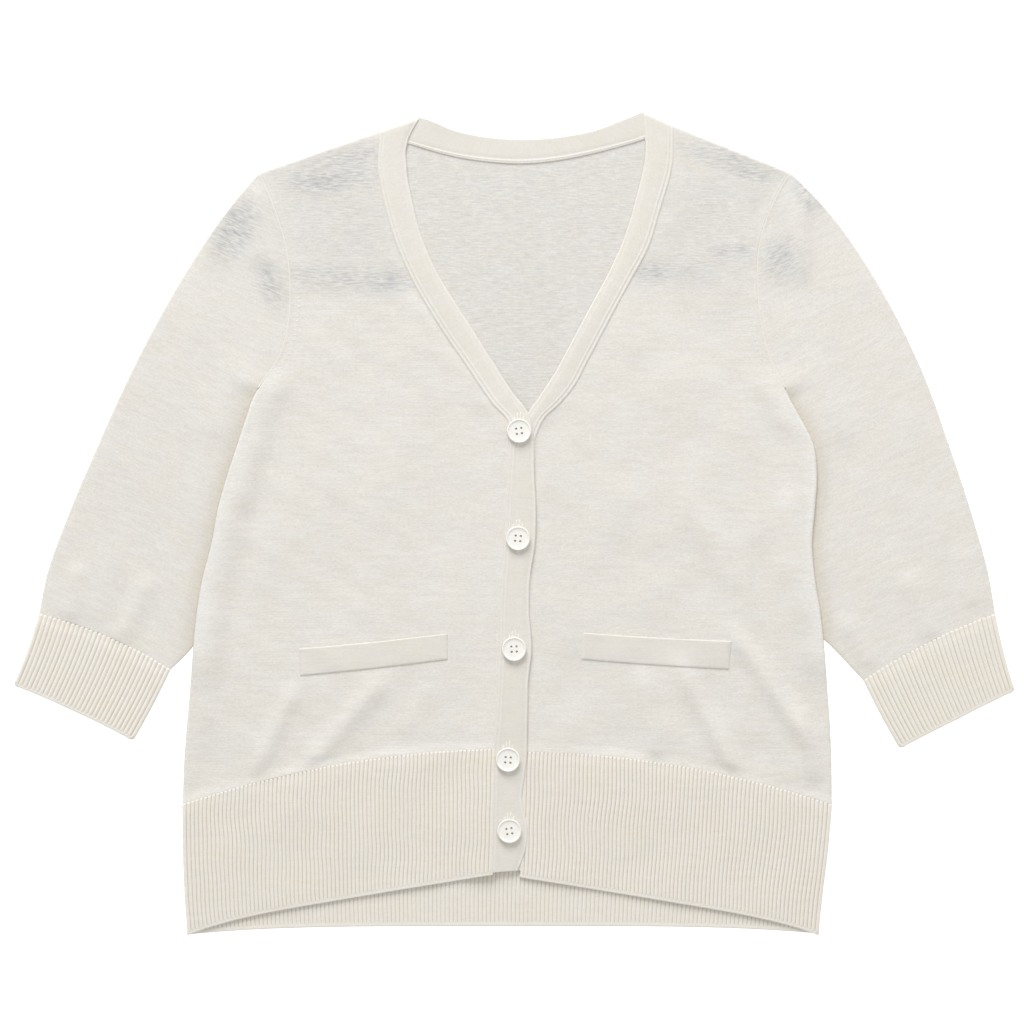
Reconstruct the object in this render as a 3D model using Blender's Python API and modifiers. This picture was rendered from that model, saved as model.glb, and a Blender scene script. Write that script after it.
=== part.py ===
"""A women's fine-gauge button cardigan, laid flat on its back with the front up and buttoned.

The garment lies in the XY plane: +Y points to the neck, +X to the wearer's left, +Z up off the surface.
The origin is below the middle of the garment, on the surface. Tables are in millimetres and the
objects in metres. Every cloth piece is a wall of its own; its stack, from the surface up, is the back,
the left front with its button band, and the right front with its buttonhole band and the buttons.
"""

import math
from collections import namedtuple

import bmesh
import bpy
from mathutils import Vector

MM = 0.001

# Cloth walls and the spaces between them.
JERSEY_WALL = 1.0
RIB_WALL = 1.6
BAND_WALL = 1.8
WELT_WALL = 1.4
LAYER_GAP = 0.5
SEAM_GAP = 0.3

# Height of each layer's underside above the surface. The right band lies LAP_RISE above the left one,
# and the right front's edge climbs with it.
FRONT_Z = JERSEY_WALL + LAYER_GAP
FRONT_RIB_Z = RIB_WALL + SEAM_GAP
WELT_Z = FRONT_Z + JERSEY_WALL + SEAM_GAP
BAND_Z = BAND_WALL + SEAM_GAP
LAP_RISE = BAND_WALL + SEAM_GAP
FRONT_CLIMB = LAP_RISE + LAYER_GAP
BUTTON_Z = BAND_Z + LAP_RISE + BAND_WALL + SEAM_GAP

# Flattened tubes: their heights, and the steps of their rounded edges, columns and rows.
SLEEVE_HEIGHT = 2 * JERSEY_WALL + LAYER_GAP
CUFF_HEIGHT = 2 * RIB_WALL + LAYER_GAP
EDGE_STEPS = 3
SLEEVE_COLUMNS = 7
CUFF_COLUMNS = 9
CUFF_ROWS = 4

# A sleeve's first row lies this share of the armhole below the shoulder, and its row at the underarm
# meets the outer edge at this share of that edge.
SHOULDER_TIP = 0.03
CAP_SHARE = 0.42

# The body's side lies on the sleeve's under edge, which is tucked in by TUCK at each of TUCK_ROWS. The
# body is raised by LIFT there. Each pair is where the lift starts and where it is full: from the top,
# from the bottom, and from inside the body's side.
TUCK = 6.5
TUCK_ROWS = (76.0, 57.0, 34.0, 10.0, -15.0, -40.0, -60.0, -76.0)
LIFT = SLEEVE_HEIGHT + SEAM_GAP
LIFT_TOP = (100.0, 88.0)
LIFT_BOTTOM = (-125.0, -92.0)
LIFT_ACROSS = (30.0, 9.0)

# Columns of a body panel beside its side, as distances inside it.
SIDE_ZONE = (0.0, 9.0, 19.0, 30.0)

# The right front climbs onto the button band along this width.
LAP_WIDTH = 28.0

# Body rows from the top of the hem rib to the shoulder: height at the side, and each side's distance
# from the centre line. UNDERARM is the row at the underarm; above it the side is the armhole. Rows up
# to LOWER_ROWS bend to the rib's arch, and those from UPPER_ROWS on bend to the shoulder line.
Body = namedtuple("Body", "y right left")
BODY = (
    Body(-203.0, 238.6, 229.4),
    Body(-184.0, 237.9, 229.3),
    Body(-165.0, 237.0, 229.0),
    Body(-145.0, 235.4, 228.0),
    Body(-125.0, 233.6, 226.6),
    Body(-92.0, 230.9, 224.0),
    Body(-65.0, 228.2, 221.2),
    Body(-40.0, 224.0, 217.2),
    Body(-15.0, 217.6, 215.2),
    Body(10.0, 213.0, 217.2),
    Body(35.0, 206.0, 218.6),
    Body(55.0, 199.4, 216.5),
    Body(78.0, 191.8, 205.2),
    Body(88.0, 188.5, 199.6),
    Body(100.0, 182.0, 194.2),
    Body(115.0, 171.8, 186.4),
    Body(130.0, 165.0, 181.3),
    Body(150.0, 161.5, 177.4),
    Body(175.0, 161.0, 175.5),
    Body(200.0, 164.0, 177.0),
    Body(222.0, 170.5, 183.3),
    Body(246.0, 180.0, 195.0),
    Body(252.5, 183.3, 199.5),
)
UNDERARM = 14
UPPER_ROWS = 16
LOWER_ROWS = 3

# Front bands, one row for each body row: where the band is seamed to the front, and its free edge.
# lap says how far the right band has climbed onto the left one.
Band = namedtuple("Band", "seam_x seam_y edge_x edge_y lap")
RIGHT_BAND = (
    Band(-12.8, -163.0, 9.9, -161.5, 1.0),
    Band(-12.0, -154.0, 9.9, -153.0, 1.0),
    Band(-11.2, -145.0, 10.0, -144.0, 1.0),
    Band(-10.2, -130.0, 10.3, -129.5, 1.0),
    Band(-9.3, -115.0, 10.6, -115.0, 1.0),
    Band(-8.3, -92.0, 13.0, -91.0, 1.0),
    Band(-7.8, -65.0, 11.3, -64.0, 1.0),
    Band(-6.5, -40.0, 11.8, -41.0, 1.0),
    Band(-4.9, -15.0, 15.6, -14.0, 1.0),
    Band(-3.9, 12.0, 16.2, 10.0, 1.0),
    Band(-2.3, 35.0, 15.1, 34.0, 1.0),
    Band(-1.4, 56.0, 14.4, 58.0, 1.0),
    Band(-2.6, 74.0, 11.5, 77.0, 1.0),
    Band(-13.5, 86.5, -1.2, 94.8, 0.9),
    Band(-25.0, 103.0, -12.3, 112.0, 0.5),
    Band(-34.0, 116.5, -20.0, 124.0, 0.2),
    Band(-43.5, 130.0, -29.5, 139.0, 0.0),
    Band(-56.5, 150.0, -42.0, 158.5, 0.0),
    Band(-71.0, 175.0, -55.5, 181.0, 0.0),
    Band(-82.5, 201.0, -66.0, 206.0, 0.0),
    Band(-90.5, 227.0, -72.5, 230.0, 0.0),
    Band(-95.6, 256.0, -76.8, 259.0, 0.0),
    Band(-94.2, 283.3, -67.3, 292.3, 0.0),
)
LEFT_BAND = (
    Band(6.9, -165.0, -11.3, -165.0, 0.0),
    Band(7.2, -155.0, -10.9, -155.0, 0.0),
    Band(7.5, -145.0, -10.5, -145.0, 0.0),
    Band(7.9, -130.0, -9.9, -130.0, 0.0),
    Band(8.3, -115.0, -9.3, -115.0, 0.0),
    Band(9.0, -92.0, -8.5, -92.0, 0.0),
    Band(9.7, -65.0, -7.4, -65.0, 0.0),
    Band(10.4, -40.0, -6.5, -40.0, 0.0),
    Band(11.2, -15.0, -5.5, -15.0, 0.0),
    Band(11.9, 12.0, -4.5, 12.0, 0.0),
    Band(12.6, 35.0, -3.6, 35.0, 0.0),
    Band(14.0, 61.0, 0.0, 62.0, 0.0),
    Band(20.0, 75.0, 8.5, 76.5, 0.0),
    Band(32.5, 87.5, 19.4, 92.2, 0.0),
    Band(43.5, 101.5, 29.8, 108.2, 0.0),
    Band(52.0, 118.0, 38.9, 125.0, 0.0),
    Band(59.0, 131.0, 46.0, 138.3, 0.0),
    Band(69.0, 150.0, 56.0, 157.0, 0.0),
    Band(82.5, 175.0, 69.4, 182.0, 0.0),
    Band(96.0, 200.5, 81.0, 209.0, 0.0),
    Band(103.8, 226.0, 88.0, 233.0, 0.0),
    Band(112.5, 258.0, 94.6, 262.0, 0.0),
    Band(113.5, 287.3, 93.6, 296.5, 0.0),
)

# The bands below the rib's top, down to the hem. The right one swells a little at each button.
RIGHT_BAND_HEM = (
    Band(-13.3, -180.0, 8.4, -180.0, 1.0),
    Band(-13.7, -198.0, 6.1, -198.0, 1.0),
    Band(-14.3, -222.0, 10.2, -221.0, 1.0),
    Band(-14.7, -238.0, 8.2, -237.0, 1.0),
    Band(-15.0, -251.3, 3.2, -250.0, 1.0),
)
LEFT_BAND_HEM = (
    Band(5.6, -207.0, -12.9, -207.0, 0.0),
    Band(4.5, -250.0, -14.3, -250.0, 0.0),
)
BAND_COLUMNS = 3

# The stretch of band round the back of the neck, from the right shoulder to the left.
Neck = namedtuple("Neck", "seam_x seam_y edge_x edge_y")
BACK_NECK = (
    Neck(-94.2, 283.3, -67.3, 292.3),
    Neck(-84.0, 277.6, -58.0, 289.4),
    Neck(-66.0, 271.6, -45.0, 283.7),
    Neck(-40.0, 265.0, -27.7, 279.4),
    Neck(-16.0, 261.6, -10.0, 277.2),
    Neck(6.0, 260.6, 7.0, 276.5),
    Neck(30.0, 262.6, 24.0, 277.2),
    Neck(52.0, 266.6, 41.4, 279.4),
    Neck(72.0, 271.4, 58.7, 283.0),
    Neck(93.0, 277.6, 76.0, 289.4),
    Neck(113.5, 287.3, 93.6, 296.5),
)
SHOULDER_COLUMNS = 3
FRONT_COLUMNS = 7

# Hem ribs: the sides, from the rib's top down.
Hem = namedtuple("Hem", "y right left")
HEM_SIDES = (
    Hem(-203.0, 238.6, 229.4),
    Hem(-235.0, 238.2, 226.6),
    Hem(-268.0, 237.0, 222.6),
    Hem(-296.5, 234.8, 217.8),
)

# The front's lower edge falls away from the bands at a slope, then drops into the corner at the side.
FRONT_HEM_RIGHT = -250.5
FRONT_HEM_LEFT = -254.0
FRONT_HEM_SLOPE = 0.165
FRONT_CORNER_POWER = 8

# The back's rib is nearly level, and lower at the sides.
BACK_HEM_CENTRE = -290.0
BACK_RIB_DEPTH = 93.5
BACK_HEM_DROP = 6.5
BACK_HEM_POWER = 4
HEM_COLUMNS = 12
HEM_ROWS = 5

# Sleeves: the outer edge from the shoulder down, the under edge from where it leaves the body, and the
# cuff's corners. bow is how far a crosswise line arches towards the shoulder.
Sleeve = namedtuple("Sleeve", "side outer leaves cuff_top cuff_bottom top_bow bottom_bow")
RIGHT_SLEEVE = Sleeve(
    side=-1,
    outer=(
        (-206.0, 225.3),
        (-244.0, 167.6),
        (-274.8, 110.0),
        (-301.3, 52.0),
        (-325.0, -5.0),
        (-335.3, -34.0),
    ),
    leaves=(-234.4, -93.4),
    cuff_top=((-341.9, -65.5), (-247.0, -105.8)),
    cuff_bottom=((-360.2, -116.4), (-273.6, -156.6)),
    top_bow=4.5,
    bottom_bow=1.5,
)
LEFT_SLEEVE = Sleeve(
    side=1,
    outer=(
        (226.0, 225.3),
        (265.3, 167.8),
        (294.1, 110.2),
        (315.0, 52.6),
        (333.6, -5.0),
        (341.5, -34.0),
    ),
    leaves=(229.0, -89.0),
    cuff_top=((347.0, -65.5), (252.0, -113.5)),
    cuff_bottom=((361.1, -120.5), (278.0, -162.4)),
    top_bow=3.5,
    bottom_bow=0.5,
)

# Soft folds of the jersey above the ribs, as ridges between two points. A fold is full over the middle
# half of that line, and fades out over FOLD_FADE of its length towards and past each end.
FOLD_FADE = 0.5
Fold = namedtuple("Fold", "x0 y0 x1 y1 height width")
FRONT_FOLDS = (
    Fold(-112, -146, -133, -172, 1.6, 11),
    Fold(-161, -149, -182, -184, 1.8, 12),
    Fold(91, -150, 105, -170, 1.2, 9),
    Fold(137, -145, 151, -178, 1.8, 11),
    Fold(190, -153, 208, -194, 1.5, 12),
    Fold(197, 20, 197, -38, 0.8, 10),
)
SLEEVE_FOLDS = (
    Fold(-312, -44, -314, -68, 1.4, 9),
    Fold(-268, -54, -280, -84, 1.6, 10),
    Fold(289, -52, 300, -80, 1.8, 10),
    Fold(238, -82, 255, -103, 1.0, 9),
)

# Pocket welts: the ends of the top and bottom edges, from the wearer's right to left.
Welt = namedtuple("Welt", "top_a top_b bottom_a bottom_b")
RIGHT_WELT = Welt((-154.2, -90.4), (-47.5, -79.6), (-153.8, -110.2), (-47.3, -98.4))
LEFT_WELT = Welt((50.0, -79.0), (157.0, -85.0), (48.6, -98.3), (155.3, -105.5))
WELT_COLUMNS = 7

# Buttons: where each one lies on the buttonhole band, top to bottom.
BUTTONS = ((4.0, 66.2), (3.2, -11.1), (0.4, -90.7), (-4.0, -170.4), (-3.0, -221.6))
BUTTON_RADIUS = 8.7
BUTTON_THICKNESS = 3.0
BUTTON_STEPS = 24
BUTTON_MERGE = 0.01
HOLE_COUNT = 4
HOLE_RADIUS = 0.95
HOLE_SPREAD = 2.1
HOLE_STEPS = 8

# Half a section of a button, as shares of its radius and thickness: the dished middle, the raised rim
# and the flat back.
Ring = namedtuple("Ring", "out up")
BUTTON_PROFILE = (
    Ring(0.0, 0.62),
    Ring(0.56, 0.62),
    Ring(0.68, 0.80),
    Ring(0.82, 1.0),
    Ring(0.93, 0.95),
    Ring(1.0, 0.68),
    Ring(0.98, 0.30),
    Ring(0.84, 0.0),
    Ring(0.0, 0.0),
)

SHARP_ANGLE = 40.0
CREAM = (0.80, 0.77, 0.71)
RIB_CREAM = (0.78, 0.74, 0.66)
BAND_CREAM = (0.84, 0.81, 0.75)
BUTTON_CREAM = (0.86, 0.82, 0.72)


def clear_scene():
    """Removes whatever the scene holds."""
    for leftover in list(bpy.data.objects):
        bpy.data.objects.remove(leftover, do_unlink=True)


def new_collection(name):
    collection = bpy.data.collections.new(name)
    bpy.context.scene.collection.children.link(collection)
    return collection


def new_material(name, colour, roughness):
    """A plain, non-metallic Principled material."""
    material = bpy.data.materials.new(name)
    material.use_nodes = True
    shader = material.node_tree.nodes["Principled BSDF"]
    shader.inputs["Base Color"].default_value = (*colour, 1.0)
    shader.inputs["Roughness"].default_value = roughness
    shader.inputs["Metallic"].default_value = 0.0
    return material


def mix(a, b, share):
    return a + (b - a) * share


def ramp(start, end, value):
    """0 at start, 1 at end, straight between them and level outside."""
    return min(1.0, max(0.0, (value - start) / (end - start)))


def soft(share):
    """Eases a share from 0 to 1 in and out."""
    return share * share * (3 - 2 * share)


def along(points, share):
    """The point at a share of the length of an open line of points."""
    steps = [math.dist(a, b) for a, b in zip(points, points[1:])]
    target = share * sum(steps)
    for a, b, step in zip(points, points[1:], steps):
        if target <= step:
            return mix(a[0], b[0], target / step), mix(a[1], b[1], target / step)
        target -= step
    return points[-1]


def shares(points):
    """How far along an open line of points each of them is, from 0 to 1."""
    steps = [math.dist(a, b) for a, b in zip(points, points[1:])]
    return [sum(steps[:k]) / sum(steps) for k in range(len(points))]


def side_at(y, side):
    """The body's side, as a distance from the centre line. side is -1 on the wearer's right."""
    rows = [(row.y, row.left if side > 0 else row.right) for row in BODY]
    for (low, a), (high, b) in zip(rows, rows[1:]):
        if y <= high:
            break
    return mix(a, b, ramp(low, high, y))


def lift(x, y):
    """How far the body is raised where its side lies on a sleeve."""
    side = 1 if x > 0 else -1
    inside = side_at(y, side) - abs(x)
    across = ramp(*LIFT_ACROSS, inside)
    return LIFT * across * ramp(*LIFT_TOP, y) * ramp(*LIFT_BOTTOM, y)


def fold_height(folds, x, y):
    """The height of the ridges at a point: a bell across each one, fading out at its two ends."""
    height = 0.0
    for fold in folds:
        run = Vector((fold.x1 - fold.x0, fold.y1 - fold.y0))
        offset = Vector((x - fold.x0, y - fold.y0))
        share = offset.dot(run) / run.length_squared
        aside = abs(offset.x * run.y - offset.y * run.x) / run.length
        past = abs(share - 0.5) - (1 - FOLD_FADE) / 2
        end = 1 - soft(ramp(0.0, FOLD_FADE, past))
        height += fold.height * end * math.exp(-((aside / fold.width) ** 2))
    return height


def rib_top(x, centre):
    """The lower edge of the front jersey, an arch from side to side."""
    half = BODY[0].left if x > 0 else BODY[0].right
    return mix(centre, BODY[0].y, (x / half) ** 2)


def front_hem(x):
    """The front's lower edge, which climbs towards the bands."""
    centre = FRONT_HEM_LEFT if x > 0 else FRONT_HEM_RIGHT
    half = HEM_SIDES[-1].left if x > 0 else HEM_SIDES[-1].right
    sloped = centre - FRONT_HEM_SLOPE * abs(x)
    corner = HEM_SIDES[-1].y - (centre - FRONT_HEM_SLOPE * half)
    return sloped + corner * (abs(x) / half) ** FRONT_CORNER_POWER


def back_arch(x, depth):
    """A level of the back's rib, a depth above its lower edge."""
    half = BODY[0].left if x > 0 else BODY[0].right
    return BACK_HEM_CENTRE + depth - BACK_HEM_DROP * (abs(x) / half) ** BACK_HEM_POWER


def new_piece(name, mesh, collection, material):
    """An object for one named piece."""
    piece = bpy.data.objects.new(name, mesh)
    collection.objects.link(piece)
    mesh.materials.append(material)
    mesh.shade_smooth()
    mesh.set_sharp_from_angle(angle=math.radians(SHARP_ANGLE))
    return piece


def walled(name, bm, wall, offset, collection, material):
    """A cloth piece from an open surface whose first face is in its upper layer. An offset of 1 puts the
    wall outside the surface, and -1 inside it."""
    bm.faces.ensure_lookup_table()
    bm.normal_update()
    if bm.faces[0].normal.z < 0:
        bmesh.ops.reverse_faces(bm, faces=bm.faces)
    mesh = bpy.data.meshes.new(name)
    bm.to_mesh(mesh)
    bm.free()
    piece = new_piece(name, mesh, collection, material)
    shell = piece.modifiers.new("wall", "SOLIDIFY")
    shell.thickness = wall * MM
    shell.offset = offset
    return piece


def panel(name, grid, wall, collection, material):
    """A cloth panel: grid holds rows of points of its underside, and the wall stands on it."""
    rows = len(grid)
    columns = len(grid[0])
    bm = bmesh.new()
    bmesh.ops.create_grid(bm, x_segments=columns - 1, y_segments=rows - 1, size=1.0)
    for vert in bm.verts:
        column = round((vert.co.x + 1) / 2 * (columns - 1))
        row = round((vert.co.y + 1) / 2 * (rows - 1))
        vert.co = Vector(grid[row][column]) * MM
    return walled(name, bm, wall, 1.0, collection, material)


def tube(name, sections, open_rows, wall, collection, material):
    """A flattened tube of cloth, lofted through sections of its outer surface. The first open_rows of
    them are open at one side and shorter, as where a sleeve meets its armhole."""
    bm = bmesh.new()
    lofted = [[bm.verts.new(Vector(point) * MM) for point in section] for section in sections]
    for row, (first, second) in enumerate(zip(lofted, lofted[1:])):
        steps = len(first) if row >= open_rows else min(len(first), len(second)) - 1
        for k in range(steps):
            after = (k + 1) % len(first)
            bm.faces.new((first[k], first[after], second[after], second[k]))
    return walled(name, bm, wall, -1.0, collection, material)


def make_back(collection, material):
    """The back: rows from the rib's top to the shoulders and the neck seam, flat but for its sides."""
    right_tip = (-BODY[-1].right, BODY[-1].y)
    left_tip = (BODY[-1].left, BODY[-1].y)
    top = [right_tip] + [(n.seam_x, n.seam_y - SEAM_GAP) for n in BACK_NECK] + [left_tip]

    def top_y(x):
        for a, b in zip(top, top[1:]):
            if x <= b[0]:
                break
        return mix(a[1], b[1], ramp(a[0], b[0], x))

    neck = [n.seam_x for n in BACK_NECK]
    last = len(BODY) - 1
    grid = []
    for k, row in enumerate(BODY):
        right = [-row.right + inside for inside in SIDE_ZONE]
        left = [row.left - inside for inside in reversed(SIDE_ZONE)]
        right += [mix(right[-1], neck[0], s / SHOULDER_COLUMNS) for s in range(1, SHOULDER_COLUMNS)]
        outer = [mix(neck[-1], left[0], s / SHOULDER_COLUMNS) for s in range(1, SHOULDER_COLUMNS)]
        bottom_bend = ramp(LOWER_ROWS, 0, k)
        top_bend = ramp(UPPER_ROWS, last, k)
        points = []
        for x in right + neck + outer + left:
            bottom_rise = back_arch(x, BACK_RIB_DEPTH) + SEAM_GAP - BODY[0].y
            top_rise = top_y(x) - BODY[last].y
            y = row.y + bottom_bend * bottom_rise + top_bend * top_rise
            points.append((x, y, lift(x, y)))
        grid.append(points)
    return panel("back", grid, JERSEY_WALL, collection, material)


def make_front(name, side, bands, collection, material):
    """One front, from its side and armhole to the band's seam."""
    last = len(BODY) - 1
    grid = []
    for k, (row, band) in enumerate(zip(BODY, bands)):
        outer = side * (row.left if side > 0 else row.right)
        seam = band.seam_x + side * SEAM_GAP
        columns = [outer - side * inside for inside in SIDE_ZONE]
        start = columns[-1]
        columns += [mix(start, seam, s / FRONT_COLUMNS) for s in range(1, FRONT_COLUMNS + 1)]
        points = []
        for x in columns:
            level = min(1.0, (x - seam) / (start - seam))
            straight = (x - seam) / (outer - seam)
            y = mix(band.seam_y, row.y, mix(level, straight, ramp(UPPER_ROWS, last, k)))
            if k == 0:
                y = rib_top(x, band.seam_y) + SEAM_GAP
            climb = soft(ramp(LAP_WIDTH, 0.0, abs(x - seam))) * band.lap * FRONT_CLIMB
            z = FRONT_Z + lift(x, y) + climb + fold_height(FRONT_FOLDS, x, y)
            points.append((x, y, z))
        grid.append(points[::-side])
    return panel(name, grid, JERSEY_WALL, collection, material)


def hem_side(share, side):
    """The side of the hem at a share of its depth, as a signed distance from the centre line."""
    rows = [(side * (h.left if side > 0 else h.right), h.y) for h in HEM_SIDES]
    return along(rows, share)[0]


def make_front_rib(name, side, bands, collection, material):
    """The hem rib of one front. Its ribs run down from the jersey to the arched hem."""
    top_seam = bands[0]
    low_seam = (RIGHT_BAND_HEM if side < 0 else LEFT_BAND_HEM)[-1]
    grid = []
    for row in range(HEM_ROWS):
        share = row / (HEM_ROWS - 1)
        outer = hem_side(share, side)
        seam = mix(top_seam.seam_x, low_seam.seam_x, share) + side * SEAM_GAP
        points = []
        for column in range(HEM_COLUMNS + 1):
            x = mix(outer, seam, soft(column / HEM_COLUMNS))
            top_y = rib_top(x, top_seam.seam_y)
            y = mix(top_y, front_hem(x), share)
            climb = soft(ramp(LAP_WIDTH, 0.0, abs(x - seam))) * top_seam.lap * FRONT_CLIMB
            points.append((x, y, FRONT_RIB_Z + climb))
        grid.append(points)
    return panel(name, grid, RIB_WALL, collection, material)


def make_back_rib(collection, material):
    """The back's hem rib, level where the front one arches."""
    grid = []
    for row in range(HEM_ROWS):
        share = row / (HEM_ROWS - 1)
        right = hem_side(share, -1)
        left = hem_side(share, 1)
        points = []
        for column in range(2 * HEM_COLUMNS + 1):
            x = mix(right, left, column / (2 * HEM_COLUMNS))
            points.append((x, back_arch(x, BACK_RIB_DEPTH * (1 - share)), 0.0))
        grid.append(points)
    return panel("back_hem_rib", grid, RIB_WALL, collection, material)


def make_band(name, stations, collection, material):
    """A front band from the hem to the shoulder, seam on one side and free edge on the other."""
    grid = []
    for station in stations:
        points = []
        for column in range(BAND_COLUMNS):
            share = column / (BAND_COLUMNS - 1)
            x = mix(station.seam_x, station.edge_x, share)
            y = mix(station.seam_y, station.edge_y, share)
            points.append((x, y, BAND_Z + LAP_RISE * station.lap))
        grid.append(points)
    return panel(name, grid, BAND_WALL, collection, material)


def make_back_neckband(collection, material):
    """The band round the back of the neck, flat on the surface."""
    grid = []
    for station in BACK_NECK:
        seam = (station.seam_x, station.seam_y, 0.0)
        edge = (station.edge_x, station.edge_y, 0.0)
        middle = tuple(mix(a, b, 0.5) for a, b in zip(seam, edge))
        grid.append([seam, middle, edge])
    return panel("back_neckband", grid, BAND_WALL, collection, material)


def bowed(ends, bow, share):
    """A point of a crosswise line that arches upwards between its two ends."""
    (ax, ay), (bx, by) = ends
    rise = bow * 4 * share * (1 - share) / math.dist(*ends)
    upwards = 1 if bx > ax else -1
    x = mix(ax, bx, share) - upwards * (by - ay) * rise
    y = mix(ay, by, share) + upwards * (bx - ax) * rise
    return x, y


def rounded_end(end, towards, height):
    """The points round one folded edge of a flattened tube, from its lower layer to its upper one."""
    radius = height / 2
    reach = math.dist(end, towards)
    points = []
    for step in range(EDGE_STEPS + 1):
        turn = math.pi * step / EDGE_STEPS
        inside = radius * (1 - math.sin(turn)) / reach
        z = radius * (1 - math.cos(turn))
        points.append((mix(end[0], towards[0], inside), mix(end[1], towards[1], inside), z))
    return points


def flat_section(line, height, folded):
    """A section of a flattened tube on a crosswise plan line, from its first point over the upper layer,
    round the last point and back below. It is folded or open at the first point."""
    rounding = height / 2 / sum(math.dist(a, b) for a, b in zip(line, line[1:]))
    first = rounding if folded else 0.0
    steps = len(line) - 1
    flat = [along(line, mix(first, 1 - rounding, k / steps)) for k in range(1, steps)]
    upper = [(x, y, height) for x, y in flat]
    lower = [(x, y, 0.0) for x, y in reversed(flat)]
    far = reversed(rounded_end(line[-1], line[-2], height))
    if not folded:
        return [(*line[0], height), *upper, *far, *lower, (*line[0], 0.0)]
    near = rounded_end(line[0], line[1], height)
    return [near[-1], *upper, *far, *lower, *near[:-1]]


def sleeve_lines(sleeve):
    """The crosswise plan lines of a sleeve, each from the armhole or the under edge to the outer edge."""
    side = sleeve.side
    armhole = []
    for row in reversed(BODY[UNDERARM:]):
        half = row.left if side > 0 else row.right
        armhole.append((side * (half + SEAM_GAP), row.y))
    outer = [armhole[0], *sleeve.outer, sleeve.cuff_top[0]]
    armhole[0] = along(armhole, SHOULDER_TIP)
    fold_y = LIFT_TOP[1]
    under = [armhole[-1], (side * (side_at(fold_y, side) + 2 * SEAM_GAP), fold_y)]
    under += [(side * (side_at(y, side) - TUCK), y) for y in TUCK_ROWS]
    under += [sleeve.leaves, sleeve.cuff_top[1]]
    downs = [CAP_SHARE * mix(SHOULDER_TIP, 1.0, share) for share in shares(armhole)]
    downs += [mix(CAP_SHARE, 1.0, share) for share in shares(under)[1:]]
    lines = []
    for start, down in zip(armhole + under[1:], downs):
        ends = (start, along(outer, down))
        steps = [column / SLEEVE_COLUMNS for column in range(SLEEVE_COLUMNS + 1)]
        lines.append([bowed(ends, sleeve.top_bow * down, step) for step in steps])
    return lines


def make_sleeve(name, sleeve, collection, material):
    """A sleeve: open along the armhole, and folded under from the underarm to the cuff."""
    open_rows = len(BODY) - 1 - UNDERARM
    sections = []
    for row, line in enumerate(sleeve_lines(sleeve)):
        section = []
        for x, y, z in flat_section(line, SLEEVE_HEIGHT, row >= open_rows):
            upper = ramp(SLEEVE_HEIGHT / 2, SLEEVE_HEIGHT, z)
            section.append((x, y, z + upper * fold_height(SLEEVE_FOLDS, x, y)))
        sections.append(section)
    return tube(name, sections, open_rows, JERSEY_WALL, collection, material)


def make_cuff(name, sleeve, collection, material):
    """A cuff: a flattened tube of rib below the sleeve."""
    sections = []
    for row in range(CUFF_ROWS):
        down = row / (CUFF_ROWS - 1)
        line = []
        for column in range(CUFF_COLUMNS + 1):
            share = column / CUFF_COLUMNS
            top = bowed(sleeve.cuff_top, sleeve.top_bow, share)
            low = bowed(sleeve.cuff_bottom, sleeve.bottom_bow, share)
            step = mix(SEAM_GAP / math.dist(top, low), 1.0, down)
            line.append((mix(top[0], low[0], step), mix(top[1], low[1], step)))
        sections.append(flat_section(line, CUFF_HEIGHT, folded=True))
    return tube(name, sections, 0, RIB_WALL, collection, material)


def make_welt(name, welt, collection, material):
    """A pocket welt, lying on the front."""
    grid = []
    for row in (0.0, 0.5, 1.0):
        points = []
        for column in range(WELT_COLUMNS + 1):
            share = column / WELT_COLUMNS
            low = along((welt.bottom_a, welt.bottom_b), share)
            top = along((welt.top_a, welt.top_b), share)
            x, y = along((low, top), row)
            points.append((x, y, WELT_Z + fold_height(FRONT_FOLDS, x, y)))
        grid.append(points)
    return panel(name, grid, WELT_WALL, collection, material)


def make_button(name, x, y, collection, cutters, material):
    """A four-hole button: a turned disc with its holes cut through."""
    mesh = bpy.data.meshes.new(name)
    scale = (BUTTON_RADIUS * MM, BUTTON_THICKNESS * MM)
    points = [(ring.out * scale[0], 0.0, ring.up * scale[1]) for ring in BUTTON_PROFILE]
    mesh.from_pydata(points, [(k, k + 1) for k in range(len(points) - 1)], [])
    place = Vector((x, y, BUTTON_Z)) * MM
    button = new_piece(name, mesh, collection, material)
    button.location = place
    turn = button.modifiers.new("turn", "SCREW")
    turn.axis = "Z"
    turn.steps = BUTTON_STEPS
    turn.render_steps = BUTTON_STEPS
    turn.use_merge_vertices = True
    turn.merge_threshold = BUTTON_MERGE * MM
    bm = bmesh.new()
    for hole in range(HOLE_COUNT):
        turned = 2 * math.pi * (hole + 0.5) / HOLE_COUNT
        made = bmesh.ops.create_cone(
            bm,
            cap_ends=True,
            segments=HOLE_STEPS,
            radius1=HOLE_RADIUS * MM,
            radius2=HOLE_RADIUS * MM,
            depth=3 * BUTTON_THICKNESS * MM,
        )
        shift = Vector((math.cos(turned), math.sin(turned), 0.0)) * HOLE_SPREAD * MM
        bmesh.ops.translate(bm, verts=made["verts"], vec=shift)
    holes_mesh = bpy.data.meshes.new(name + "_holes")
    bm.to_mesh(holes_mesh)
    bm.free()
    holes = bpy.data.objects.new(name + "_holes", holes_mesh)
    cutters.objects.link(holes)
    holes.location = place
    holes.hide_render = True
    holes.display_type = "WIRE"
    cut = button.modifiers.new("holes", "BOOLEAN")
    cut.operation = "DIFFERENCE"
    cut.solver = "EXACT"
    cut.object = holes
    return button


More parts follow.
